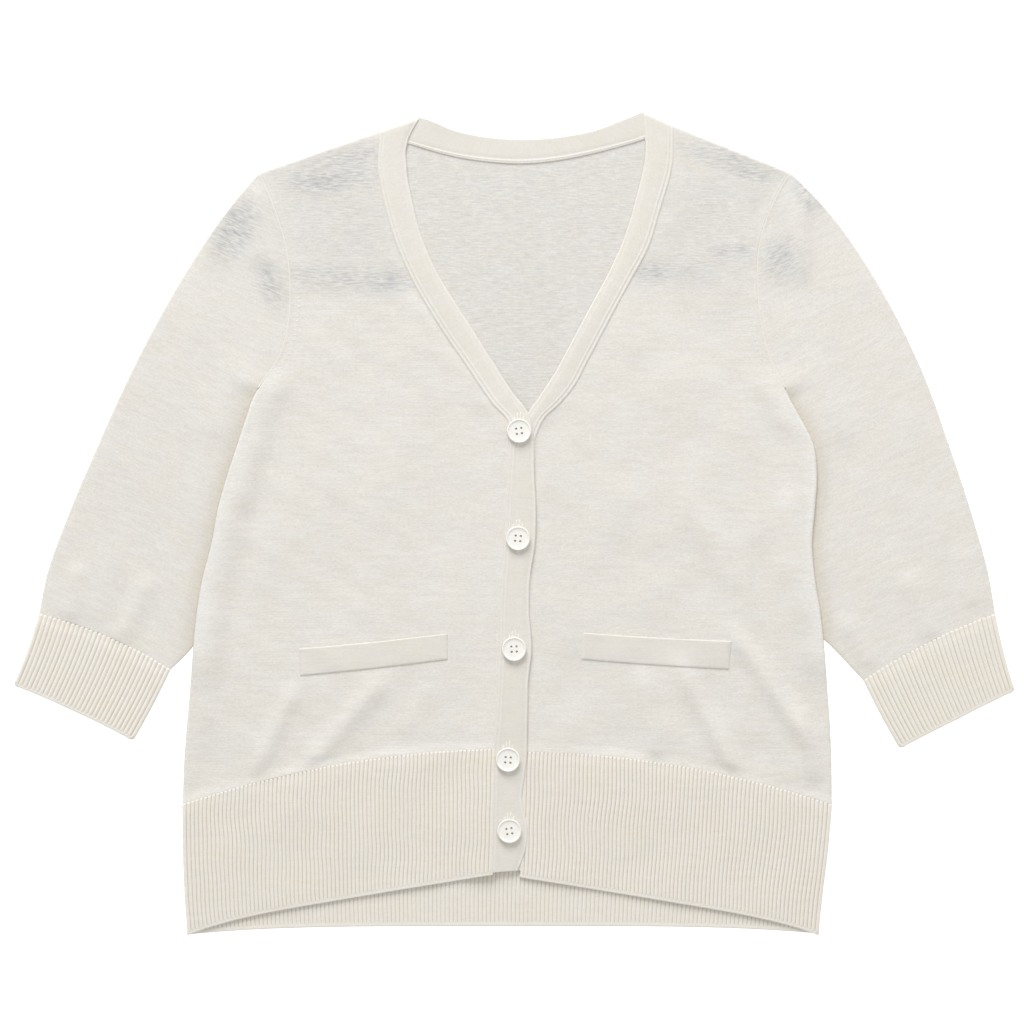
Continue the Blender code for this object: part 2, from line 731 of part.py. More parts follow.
def main():
    clear_scene()
    cardigan = new_collection("button_cardigan")
    cutters = new_collection("cutters")
    cutters.hide_render = True
    jersey = new_material("jersey", CREAM, 0.85)
    rib = new_material("rib", RIB_CREAM, 0.88)
    band = new_material("band", BAND_CREAM, 0.82)
    button = new_material("button", BUTTON_CREAM, 0.35)
    make_back(cardigan, jersey)
    make_back_rib(cardigan, rib)
    make_back_neckband(cardigan, band)
    make_front("front_right", -1, RIGHT_BAND, cardigan, jersey)
    make_front("front_left", 1, LEFT_BAND, cardigan, jersey)
    make_front_rib("front_right_hem_rib", -1, RIGHT_BAND, cardigan, rib)
    make_front_rib("front_left_hem_rib", 1, LEFT_BAND, cardigan, rib)
    make_band("buttonhole_band", [*reversed(RIGHT_BAND_HEM), *RIGHT_BAND], cardigan, band)
    make_band("button_band", [*reversed(LEFT_BAND_HEM), *LEFT_BAND], cardigan, band)
    for side, sleeve in (("right", RIGHT_SLEEVE), ("left", LEFT_SLEEVE)):
        make_sleeve("sleeve_" + side, sleeve, cardigan, jersey)
        make_cuff("cuff_" + side, sleeve, cardigan, rib)
    make_welt("pocket_welt_right", RIGHT_WELT, cardigan, band)
    make_welt("pocket_welt_left", LEFT_WELT, cardigan, band)
    for number, (x, y) in enumerate(BUTTONS, start=1):
        make_button(f"button_{number}", x, y, cardigan, cutters, button)


main()
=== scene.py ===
import math
from collections import namedtuple

import bmesh
import bpy
import numpy as np
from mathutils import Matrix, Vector


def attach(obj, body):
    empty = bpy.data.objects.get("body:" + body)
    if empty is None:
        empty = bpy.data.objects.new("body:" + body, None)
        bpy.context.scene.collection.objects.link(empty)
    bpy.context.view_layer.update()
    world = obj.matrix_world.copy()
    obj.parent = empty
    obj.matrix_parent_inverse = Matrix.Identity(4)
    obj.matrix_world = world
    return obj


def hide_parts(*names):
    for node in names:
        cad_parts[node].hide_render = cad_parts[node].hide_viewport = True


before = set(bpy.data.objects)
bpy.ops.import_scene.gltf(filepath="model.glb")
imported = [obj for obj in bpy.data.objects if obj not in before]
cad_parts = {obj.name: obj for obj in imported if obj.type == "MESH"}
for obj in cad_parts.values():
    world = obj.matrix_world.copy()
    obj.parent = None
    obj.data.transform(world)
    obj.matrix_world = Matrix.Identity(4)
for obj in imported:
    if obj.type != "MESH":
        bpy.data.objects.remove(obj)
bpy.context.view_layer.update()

MM = 0.001

# Cloth walls, and the height of each layer's upper face above the surface.
JERSEY_WALL = 0.9
RIB_WALL = 1.1
BAND_WALL = 1.5
WELT_WALL = 1.1
BACK_TOP = 1.0
FRONT_TOP = 2.5
BACK_RIB_TOP = 1.5
FRONT_RIB_TOP = 3.3
BAND_TOP = 3.6
LAP_RISE = 1.8
FRONT_CLIMB = 2.5
LAP_WIDTH = 28.0
SLEEVE_HEIGHT = 2.5
CUFF_HEIGHT = 3.3
WELT_TOP = 3.5
BUTTON_BASE = 5.5

# The body's side lies on the sleeve's under edge. SLIPS_UNDER gives heights and how far the edge has gone
# under there. At the heights in TUCK_ROWS it is TUCK under.
TUCK = 6.5
SLIPS_UNDER = ((95.0, 0.8), (91.0, 2.0), (86.0, 4.0))
TUCK_ROWS = (76.0, 57.0, 34.0, 10.0, -15.0, -40.0, -60.0, -76.0)

# How far the sleeve raises the body. Each pair is where a rise starts and where it is full. CAP_SHARE is
# the armhole's part of a sleeve's length, and RAISED_REACH how far the rise runs into the sleeve.
LIFT = 2.8
LIFT_TOP = (116.0, 88.0)
LIFT_BOTTOM = (-125.0, -92.0)
LIFT_ACROSS = (30.0, 9.0)
SHOULDER_TIP = 0.012
CAP_SHARE = 0.42
RAISED_REACH = 26.0

# Body rows from the top of the hem rib to the shoulder: height at the side, and each side's distance
# from the centre line. Above UNDERARM the side is the armhole.
Body = namedtuple("Body", "y right left")
BODY = (
    Body(-203.0, 238.6, 229.4),
    Body(-184.0, 237.9, 229.3),
    Body(-165.0, 237.0, 229.0),
    Body(-145.0, 235.4, 228.0),
    Body(-125.0, 233.6, 226.6),
    Body(-92.0, 230.9, 224.0),
    Body(-65.0, 228.2, 221.2),
    Body(-40.0, 224.0, 217.2),
    Body(-15.0, 217.6, 215.2),
    Body(10.0, 213.0, 217.2),
    Body(35.0, 206.0, 218.6),
    Body(55.0, 199.4, 216.5),
    Body(78.0, 191.8, 205.2),
    Body(88.0, 188.5, 199.6),
    Body(100.0, 182.0, 194.2),
    Body(115.0, 171.8, 186.4),
    Body(130.0, 165.0, 181.3),
    Body(150.0, 161.5, 177.4),
    Body(175.0, 161.0, 175.5),
    Body(200.0, 164.0, 177.0),
    Body(222.0, 170.5, 183.3),
    Body(246.0, 180.0, 195.0),
    Body(252.5, 183.3, 199.5),
)
UNDERARM = 14
UNDERARM_Y = BODY[UNDERARM].y

# Front bands, one row for each body row, then from the rib's top down to the hem.
Band = namedtuple("Band", "seam_x seam_y edge_x edge_y lap")
RIGHT_BAND = (
    Band(-12.8, -163.0, 9.9, -161.5, 1.0),
    Band(-12.0, -154.0, 9.9, -153.0, 1.0),
    Band(-11.2, -145.0, 10.0, -144.0, 1.0),
    Band(-10.2, -130.0, 10.3, -129.5, 1.0),
    Band(-9.3, -115.0, 10.6, -115.0, 1.0),
    Band(-8.3, -92.0, 13.0, -91.0, 1.0),
    Band(-7.8, -65.0, 11.3, -64.0, 1.0),
    Band(-6.5, -40.0, 11.8, -41.0, 1.0),
    Band(-4.9, -15.0, 15.6, -14.0, 1.0),
    Band(-3.9, 12.0, 16.2, 10.0, 1.0),
    Band(-2.3, 35.0, 15.1, 34.0, 1.0),
    Band(-1.4, 56.0, 14.4, 58.0, 1.0),
    Band(-2.6, 74.0, 11.5, 77.0, 1.0),
    Band(-13.5, 86.5, -1.2, 94.8, 0.9),
    Band(-25.0, 103.0, -12.3, 112.0, 0.5),
    Band(-34.0, 116.5, -20.0, 124.0, 0.2),
    Band(-43.5, 130.0, -29.5, 139.0, 0.0),
    Band(-56.5, 150.0, -42.0, 158.5, 0.0),
    Band(-71.0, 175.0, -55.5, 181.0, 0.0),
    Band(-82.5, 201.0, -66.0, 206.0, 0.0),
    Band(-90.5, 227.0, -72.5, 230.0, 0.0),
    Band(-95.6, 256.0, -76.8, 259.0, 0.0),
    Band(-94.2, 283.3, -67.3, 292.3, 0.0),
)
LEFT_BAND = (
    Band(6.9, -165.0, -11.3, -165.0, 0.0),
    Band(7.2, -155.0, -10.9, -155.0, 0.0),
    Band(7.5, -145.0, -10.5, -145.0, 0.0),
    Band(7.9, -130.0, -9.9, -130.0, 0.0),
    Band(8.3, -115.0, -9.3, -115.0, 0.0),
    Band(9.0, -92.0, -8.5, -92.0, 0.0),
    Band(9.7, -65.0, -7.4, -65.0, 0.0),
    Band(10.4, -40.0, -6.5, -40.0, 0.0),
    Band(11.2, -15.0, -5.5, -15.0, 0.0),
    Band(11.9, 12.0, -4.5, 12.0, 0.0),
    Band(12.6, 35.0, -3.6, 35.0, 0.0),
    Band(14.0, 61.0, 0.0, 62.0, 0.0),
    Band(20.0, 75.0, 8.5, 76.5, 0.0),
    Band(32.5, 87.5, 19.4, 92.2, 0.0),
    Band(43.5, 101.5, 29.8, 108.2, 0.0),
    Band(52.0, 118.0, 38.9, 125.0, 0.0),
    Band(59.0, 131.0, 46.0, 138.3, 0.0),
    Band(69.0, 150.0, 56.0, 157.0, 0.0),
    Band(82.5, 175.0, 69.4, 182.0, 0.0),
    Band(96.0, 200.5, 81.0, 209.0, 0.0),
    Band(103.8, 226.0, 88.0, 233.0, 0.0),
    Band(112.5, 258.0, 94.6, 262.0, 0.0),
    Band(113.5, 287.3, 93.6, 296.5, 0.0),
)
RIGHT_BAND_HEM = (
    Band(-13.3, -180.0, 8.4, -180.0, 1.0),
    Band(-13.7, -198.0, 6.1, -198.0, 1.0),
    Band(-14.3, -222.0, 10.2, -221.0, 1.0),
    Band(-14.7, -238.0, 8.2, -237.0, 1.0),
    Band(-15.0, -251.3, 3.2, -250.0, 1.0),
)
LEFT_BAND_HEM = (
    Band(5.6, -207.0, -12.9, -207.0, 0.0),
    Band(4.5, -250.0, -14.3, -250.0, 0.0),
)

Neck = namedtuple("Neck", "seam_x seam_y edge_x edge_y")
BACK_NECK = (
    Neck(-94.2, 283.3, -67.3, 292.3),
    Neck(-84.0, 277.6, -58.0, 289.4),
    Neck(-66.0, 271.6, -45.0, 283.7),
    Neck(-40.0, 265.0, -27.7, 279.4),
    Neck(-16.0, 261.6, -10.0, 277.2),
    Neck(6.0, 260.6, 7.0, 276.5),
    Neck(30.0, 262.6, 24.0, 277.2),
    Neck(52.0, 266.6, 41.4, 279.4),
    Neck(72.0, 271.4, 58.7, 283.0),
    Neck(93.0, 277.6, 76.0, 289.4),
    Neck(113.5, 287.3, 93.6, 296.5),
)

# Hem ribs: the sides from the rib's top down, the front's sloping edge and the back's level one.
Hem = namedtuple("Hem", "y right left")
HEM_SIDES = (
    Hem(-203.0, 238.6, 229.4),
    Hem(-235.0, 238.2, 226.6),
    Hem(-268.0, 237.0, 222.6),
    Hem(-296.5, 234.8, 219.6),
)
FRONT_HEM_RIGHT = -250.5
FRONT_HEM_LEFT = -254.0
FRONT_HEM_SLOPE = 0.165
FRONT_CORNER_POWER = 8
BACK_HEM_CENTRE = -290.0
BACK_RIB_DEPTH = 93.5
BACK_HEM_DROP = 6.5
BACK_HEM_POWER = 4

Sleeve = namedtuple("Sleeve", "side outer leaves cuff_top cuff_bottom top_bow bottom_bow tilt")
RIGHT_SLEEVE = Sleeve(
    side=-1,
    outer=(
        (-206.0, 225.3),
        (-244.0, 167.6),
        (-274.8, 110.0),
        (-301.3, 52.0),
        (-325.0, -5.0),
        (-335.3, -34.0),
    ),
    leaves=(-234.4, -93.4),
    cuff_top=((-341.9, -65.5), (-247.0, -105.8)),
    cuff_bottom=((-360.2, -116.4), (-273.6, -156.6)),
    top_bow=4.5,
    bottom_bow=1.5,
    tilt=-23.0,
)
LEFT_SLEEVE = Sleeve(
    side=1,
    outer=(
        (226.0, 225.3),
        (265.3, 167.8),
        (294.1, 110.2),
        (315.0, 52.6),
        (333.6, -5.0),
        (341.5, -34.0),
    ),
    leaves=(229.0, -89.0),
    cuff_top=((347.0, -65.5), (252.0, -113.5)),
    cuff_bottom=((361.1, -120.5), (278.0, -162.4)),
    top_bow=3.5,
    bottom_bow=0.5,
    tilt=24.0,
)

# Soft folds, as low ridges between two points.
Fold = namedtuple("Fold", "x0 y0 x1 y1 height width")
FRONT_FOLDS = (
    Fold(-93, -112, -150, -178, 2.1, 8),
    Fold(-157, -118, -186, -180, 1.9, 7),
    Fold(-62, -118, -80, -150, 0.8, 8),
    Fold(92, -108, 104, -176, 1.7, 6),
    Fold(120, -104, 162, -184, 2.8, 7),
    Fold(158, -78, 212, -158, 2.8, 7),
    Fold(206, -138, 218, -184, 1.5, 6),
    Fold(132, 10, 168, -70, 1.0, 10),
    Fold(-214, -60, -220, -150, 1.2, 9),
    Fold(-176, -10, -200, -110, 1.0, 12),
    Fold(120, 20, 176, -60, 0.9, 13),
    Fold(197, 22, 197, -40, 0.7, 9),
    Fold(-183, 60, -196, 10, 1.0, 9),
    Fold(60, 40, 110, -20, 0.7, 14),
)
SLEEVE_FOLDS = (
    Fold(-312, -30, -318, -68, 1.5, 8),
    Fold(-262, -40, -282, -84, 1.6, 8),
    Fold(-290, -20, -299, -70, 0.8, 9),
    Fold(285, -38, 300, -82, 1.6, 8),
    Fold(238, -70, 256, -103, 1.2, 7),
    Fold(322, -20, 332, -60, 1.0, 8),
    Fold(-184, 240, -186, 186, 1.5, 7),
    Fold(207, 234, 208, 175, 1.7, 7),
    Fold(-198, 118, -216, 60, 1.0, 10),
    Fold(216, 120, 236, 60, 1.0, 10),
)
FOLD_FADE = 0.32

# Low uneven waves of the cloth. Each side of the wearer draws its own, from seed - 1 or seed + 1.
Wave = namedtuple("Wave", "seed length height")
FRONT_WAVES = Wave(11, 80.0, 0.45)
FRONT_RIPPLES = Wave(21, 30.0, 0.13)
RIB_SWAY = Wave(31, 40.0, 0.42)
RIB_WAVES = Wave(41, 70.0, 0.2)
SLEEVE_WAVES = Wave(51, 80.0, 0.22)
WAVE_COUNT = 7

Welt = namedtuple("Welt", "top_a top_b bottom_a bottom_b")
RIGHT_WELT = Welt((-154.2, -90.4), (-47.5, -79.6), (-153.8, -110.2), (-47.3, -98.4))
LEFT_WELT = Welt((50.0, -79.0), (157.0, -85.0), (48.6, -98.3), (155.3, -105.5))

BUTTONS = ((4.0, 66.2), (3.2, -11.1), (0.4, -90.7), (-4.0, -170.4), (-3.0, -221.6))
BUTTON_RADIUS = 8.7
BUTTON_THICKNESS = 3.0
BUTTON_STEPS = 72
HOLE_COUNT = 4
HOLE_RADIUS = 0.8
HOLE_SPREAD = 2.6
Ring = namedtuple("Ring", "out up")
BUTTON_PROFILE = (
    Ring(0.0, 0.74),
    Ring(0.40, 0.74),
    Ring(0.70, 0.76),
    Ring(0.82, 0.80),
    Ring(0.86, 0.88),
    Ring(0.89, 0.96),
    Ring(0.92, 1.0),
    Ring(0.95, 0.98),
    Ring(0.98, 0.90),
    Ring(1.0, 0.76),
    Ring(1.0, 0.58),
    Ring(0.98, 0.36),
    Ring(0.93, 0.12),
    Ring(0.84, 0.0),
    Ring(0.0, 0.0),
)

# Ribs: how many each piece has, the samples across one, and its relief.
RIB_SAMPLES = 8
RIB_RELIEF = 0.75
HEM_RIBS = 76
CUFF_RIBS = 30

# Distances of the grid lines beside an edge that is rolled, sewn or folded.
FINE_EDGE = (0.0, 0.35, 0.75, 1.2, 1.8, 2.6, 3.6, 5.0, 7.0, 9.5)
SEAM_EDGE = (0.0, 0.5, 1.0, 1.6, 2.4, 3.4, 5.0, 7.0)
SIDE_ROLL = 2.0
ARMHOLE_ROLL = 0.6
BAND_EDGE_ROLL = 0.8
WELT_ROLL = 0.5
CUFF_CORNER_ROLL = 3.0
SEAM_GAP = 0.2
SHOULDER_BOW = 3.0

# The two sides of the wearer, by the sign of X, and the tables of each.
SIDES = {"right": -1, "left": 1}
BANDS = {-1: RIGHT_BAND, 1: LEFT_BAND}
SLEEVES = {-1: RIGHT_SLEEVE, 1: LEFT_SLEEVE}
WELTS = {-1: RIGHT_WELT, 1: LEFT_WELT}

# The rounded border of a shell: the turns of its rings in degrees, and how far they stand out.
RIM_TURNS = (45.0, 90.0, 135.0)
RIM_BULGE = 0.55

# Crosswise rows, as parts of a body row beside the shoulder and the hem, or in mm down a rib.
END_ROWS = (0.0, 0.015, 0.035, 0.065, 0.11, 0.18, 0.28, 0.45, 0.7)
START_ROWS = (0.0, 0.05, 0.12, 0.2, 0.32, 0.5)
RIB_ROWS_TOP = (0.0, 0.7, 1.5, 2.6, 4.2)
RIB_ROWS_HEM = (0.0, 0.5, 1.0, 1.5, 2.0, 2.6, 3.6)
LIP_SHARE = 0.6

# How many even lines lie between the fine ones, along and across each piece.
FRONT_GRID = (150, 84)
BACK_GRID = (110, 100)
BAND_GRID = (330, 6)
NECK_GRID = (240, 5)
CAP_LINES = 58
ARM_GRID = (76, 56)
WELT_GRID = (7, 110)
BAND_SEAM_EDGE = (0.0, 0.4, 0.8, 1.2, 1.6, 2.0, 2.5, 3.0, 3.5, 4.0, 4.6, 5.5)
BAND_FREE_EDGE = (0.0, 0.35, 0.8, 1.4, 2.2, 3.2)
BAND_END_ROWS = (0.0, 0.02, 0.05, 0.1)
NECK_SEAM_EDGE = (0.0, 0.4, 0.8, 1.2, 1.6, 2.0, 2.5, 3.1, 3.8, 4.6, 5.5)
NECK_FREE_EDGE = (0.0, 0.35, 0.8, 1.4, 2.2)
NECK_END_ROWS = (0.0, 0.05)
BAND_OVERLAP = 1.7
NECK_OVERLAP = 1.5
SEAM_STITCH = 2.4
ROW_LENGTH = 22.0

# How far the back lies inside the fronts' rolled sides.
BACK_INSET = 1.3
FRONT_RIB_DEPTH = 90.0
BACK_RIB_SHOWN = 93.0
CUFF_DEPTH = 53.0
WELT_DEPTH = 19.5
WELT_LENGTH = 107.0
WELT_ROWS = (0.0, 0.4, 0.9, 1.6, 2.5)



# Thin places of the jersey, painted grey as shade showing through: centre, half widths, turn and strength.
Patch = namedtuple("Patch", "x y wide tall turn strength")
SHADE_PATCHES = (
    Patch(-136.0, 246.0, 26.0, 11.0, 3.0, 1.0),
    Patch(-111.0, 263.0, 20.0, 8.0, 16.0, 0.9),
    Patch(-124.0, 253.0, 42.0, 20.0, 10.0, 0.7),
    Patch(-137.0, 180.0, 28.0, 8.0, 0.0, 0.75),
    Patch(-92.0, 174.0, 18.0, 8.0, 0.0, 1.0),
    Patch(-117.0, 177.0, 46.0, 12.0, 0.0, 0.7),
    Patch(-120.0, 218.0, 48.0, 46.0, 0.0, 0.4),
    Patch(156.0, 261.0, 38.0, 9.0, -16.0, 0.8),
    Patch(168.0, 252.0, 18.0, 6.0, -14.0, 0.9),
    Patch(134.0, 186.0, 44.0, 14.0, 8.0, 0.5),
    Patch(155.0, 196.0, 20.0, 6.0, 2.0, 0.85),
    Patch(100.0, 180.0, 14.0, 9.0, 0.0, 0.8),
    Patch(140.0, 224.0, 46.0, 42.0, 0.0, 0.35),
    Patch(-201.0, 211.0, 13.0, 24.0, -30.0, 1.0),
    Patch(-174.0, 172.0, 9.0, 18.0, 15.0, 0.85),
    Patch(213.0, 236.0, 8.0, 14.0, 30.0, 1.0),
    Patch(193.0, 190.0, 13.0, 17.0, -8.0, 0.8),
    Patch(-262.0, 40.0, 62.0, 125.0, -25.0, 0.1),
)

# Painted light and shade that the jersey's colour is multiplied by: a painted highlight on the fronts' thin
# rolled sides, as light comes through the thin cloth there, and a warm painted shadow in the hollow on a
# sleeve beside them. The widths are how far each reaches.
RIM_LIGHT_TINT = (1.055, 1.065, 1.085)
RIM_LIGHT_WIDTH = 9.0
HOLLOW_SHADE_TINT = (0.89, 0.86, 0.81)
HOLLOW_SHADE_WIDTH = 8.0
PLAIN_TINT = (1.0, 1.0, 1.0)
RIM_LIGHT_FROM_TOP = (98.0, 84.0)
RIM_LIGHT_FROM_BOTTOM = (-118.0, -86.0)
HOLLOW_SHADE_FROM_TOP = (112.0, 84.0)
# The grey that the thin patches are mixed towards, as painted shade showing through the cloth.
SHEER_SHADE_GREY = (0.445, 0.452, 0.472)
# How much of that painted shade lies evenly over the whole back.
BACK_SHEER_SHADE = 0.34

# Yarns: the two colours of the heathered streaks, the painted shade in the grooves between ribs (on the
# bands it darkens all but the ridges, which so read as lit), the spread of the streaks, the sheen, the
# bump's depth, and the width and height of one stitch.
Yarn = namedtuple("Yarn", "name light dark groove streak sheen bump_depth wale course")
JERSEY_YARN = Yarn("jersey_knit", (0.86, 0.845, 0.81), (0.755, 0.73, 0.685), None, 0.10, 0.12, 0.22,
                   1.5, 1.15)
RIB_YARN = Yarn("rib_knit", (0.89, 0.862, 0.808), (0.82, 0.787, 0.727), (0.72, 0.66, 0.56), 0.14, 0.1, 0.18,
                1.48, 1.2)
BAND_YARN = Yarn("band_knit", (0.88, 0.865, 0.83), (0.805, 0.78, 0.735), (0.965, 0.957, 0.94), 0.14, 0.1,
                 0.20, 1.1, 1.0)

# The lamps stand in metres and shine at the cardigan's middle. Powers are in watts.
Lamp = namedtuple("Lamp", "name place size power colour")
LAMPS = (
    Lamp("key", (-0.7, 3.6, 2.1), 2.2, 165.0, (1.0, 1.0, 1.0)),
    Lamp("fill", (2.6, 0.4, 3.4), 3.0, 16.0, (1.0, 1.0, 1.0)),
    Lamp("low_fill", (0.5, -3.4, 1.7), 3.0, 16.0, (1.0, 0.94, 0.86)),
)
WORLD_STRENGTH = 0.53
FLOOR_SIZE = 3.0
FLOOR_Z = -0.0005
FLOOR_GLOW = 0.6

# The camera looks straight down from far away. Its view is VIEW_WIDTH wide about VIEW_CENTRE.
VIEW_CENTRE = (-1.1, 7.9)
VIEW_WIDTH = 737.3
LENS = 200.0
SENSOR = 36.0

# A record for the flat sizes of the cloth as cut, in metres, with the area where the cut isn't a rectangle.
# No piece here is given one.
Cut = namedtuple("Cut", "width length area held rests_on")


def link(name, data):
    """A new object in the scene, holding the data given."""
    made = bpy.data.objects.new(name, data)
    bpy.context.scene.collection.objects.link(made)
    return made


def mesh_of(name, bm):
    mesh = bpy.data.meshes.new(name)
    bm.to_mesh(mesh)
    bm.free()
    return mesh


def mix(a, b, share):
    return a + (b - a) * share


def ramp(start, end, value):
    """0 at start, 1 at end, straight between them and level outside."""
    return np.clip((np.asarray(value, float) - start) / (end - start), 0.0, 1.0)


def soft(share):
    """Eases a share from 0 to 1 in and out."""
    return share * share * (3 - 2 * share)


def eased(start, end, value):
    """Like ramp, but smooth at both ends."""
    return soft(ramp(start, end, value))


def bell(offset, width):
    return np.exp(-((offset / width) ** 2))


Line = namedtuple("Line", "points lengths slopes")


def smooth_line(points):
    """A smooth open line through points."""
    points = np.array(points, float)
    steps = np.linalg.norm(np.diff(points, axis=0), axis=1)
    lengths = np.concatenate([[0.0], np.cumsum(steps)])
    return Line(points, lengths, np.gradient(points, lengths, axis=0))


def at_length(line, where):
    """The points of a smooth line at distances along it."""
    where = np.asarray(where, float)
    k = np.clip(np.searchsorted(line.lengths, where, side="right") - 1, 0, len(line.lengths) - 2)
    span = (line.lengths[k + 1] - line.lengths[k])[:, None]
    s = ((where - line.lengths[k])[:, None]) / span
    a = line.points[k] * (1 + 2 * s) * (1 - s) ** 2 + line.points[k + 1] * s * s * (3 - 2 * s)
    return a + span * (line.slopes[k] * s * (1 - s) ** 2 - line.slopes[k + 1] * s * s * (1 - s))


def at_share(line, share):
    return at_length(line, np.asarray(share, float) * line.lengths[-1])


def at_row(line, row):
    """The points of a smooth line at fractional numbers of its own points."""
    return at_length(line, np.interp(row, np.arange(len(line.lengths)), line.lengths))


def body_line(side):
    return smooth_line([(side * (row.left if side > 0 else row.right), row.y) for row in BODY])


BODY_LINES = {side: body_line(side) for side in (-1, 1)}
SIDE_SAMPLES = {side: at_share(BODY_LINES[side], np.linspace(0, 1, 1200)) for side in (-1, 1)}


def side_at(y, side):
    """The body's side at a height, as a distance from the centre line."""
    samples = SIDE_SAMPLES[side]
    return np.interp(y, samples[:, 1], np.abs(samples[:, 0]))


def lift(x, y):
    """How far the body is raised where its side lies on a sleeve."""
    inside = np.where(x > 0, side_at(y, 1), side_at(y, -1)) - np.abs(x)
    return LIFT * eased(*LIFT_ACROSS, inside) * eased(*LIFT_TOP, y) * eased(*LIFT_BOTTOM, y)


def fold_height(folds, x, y):
    """The height of the folds at a point: a bell across each one, fading out at its two ends."""
    height = np.zeros_like(x)
    for fold in folds:
        run_x = fold.x1 - fold.x0
        run_y = fold.y1 - fold.y0
        length = math.hypot(run_x, run_y)
        share = ((x - fold.x0) * run_x + (y - fold.y0) * run_y) / length**2
        aside = ((x - fold.x0) * run_y - (y - fold.y0) * run_x) / length
        past = np.abs(share - 0.5) - (1 - FOLD_FADE) / 2
        end = 1 - eased(0.0, FOLD_FADE, past)
        height += fold.height * end * bell(aside, fold.width)
    return height


def waves(x, y, wave, side):
    """Low uneven waves: a few sines in seeded directions."""
    random = np.random.default_rng(wave.seed + side)
    total = np.zeros_like(x)
    for _ in range(WAVE_COUNT):
        turn = random.uniform(0, math.pi)
        size = wave.length * random.uniform(0.6, 1.6)
        phase = random.uniform(0, 2 * math.pi)
        total += np.sin(2 * math.pi * (x * math.cos(turn) + y * math.sin(turn)) / size + phase)
    return wave.height * total / math.sqrt(WAVE_COUNT)


def roll(distance, radius):
    """How far a rolled edge has dropped at a distance inside it."""
    inside = np.clip(1 - distance / radius, 0.0, 1.0)
    return radius * (1 - np.sqrt(1 - inside**2))


def spaced(lengths, near, far, middle):
    """Distances along crosswise lines: fixed ones beside each end, and even ones between."""
    near = np.array(near)
    far = np.array(far)
    lengths = lengths[:, None]
    even = np.linspace(0, 1, middle + 2)[1:-1]
    between = near[-1] + (lengths - far[-1] - near[-1]) * even
    return np.hstack([np.tile(near, (len(lengths), 1)), between, lengths - far[::-1]])


def unit(vectors):
    return vectors / np.maximum(np.linalg.norm(vectors, axis=-1, keepdims=True), 1e-9)


def border_of(rows, columns):
    """The grid's border vertices in order, as indices into its rows and columns."""
    along = [(0, c) for c in range(columns)]
    along += [(r, columns - 1) for r in range(1, rows)]
    along += [(rows - 1, c) for c in range(columns - 2, -1, -1)]
    along += [(r, 0) for r in range(rows - 2, 0, -1)]
    return np.array(along)


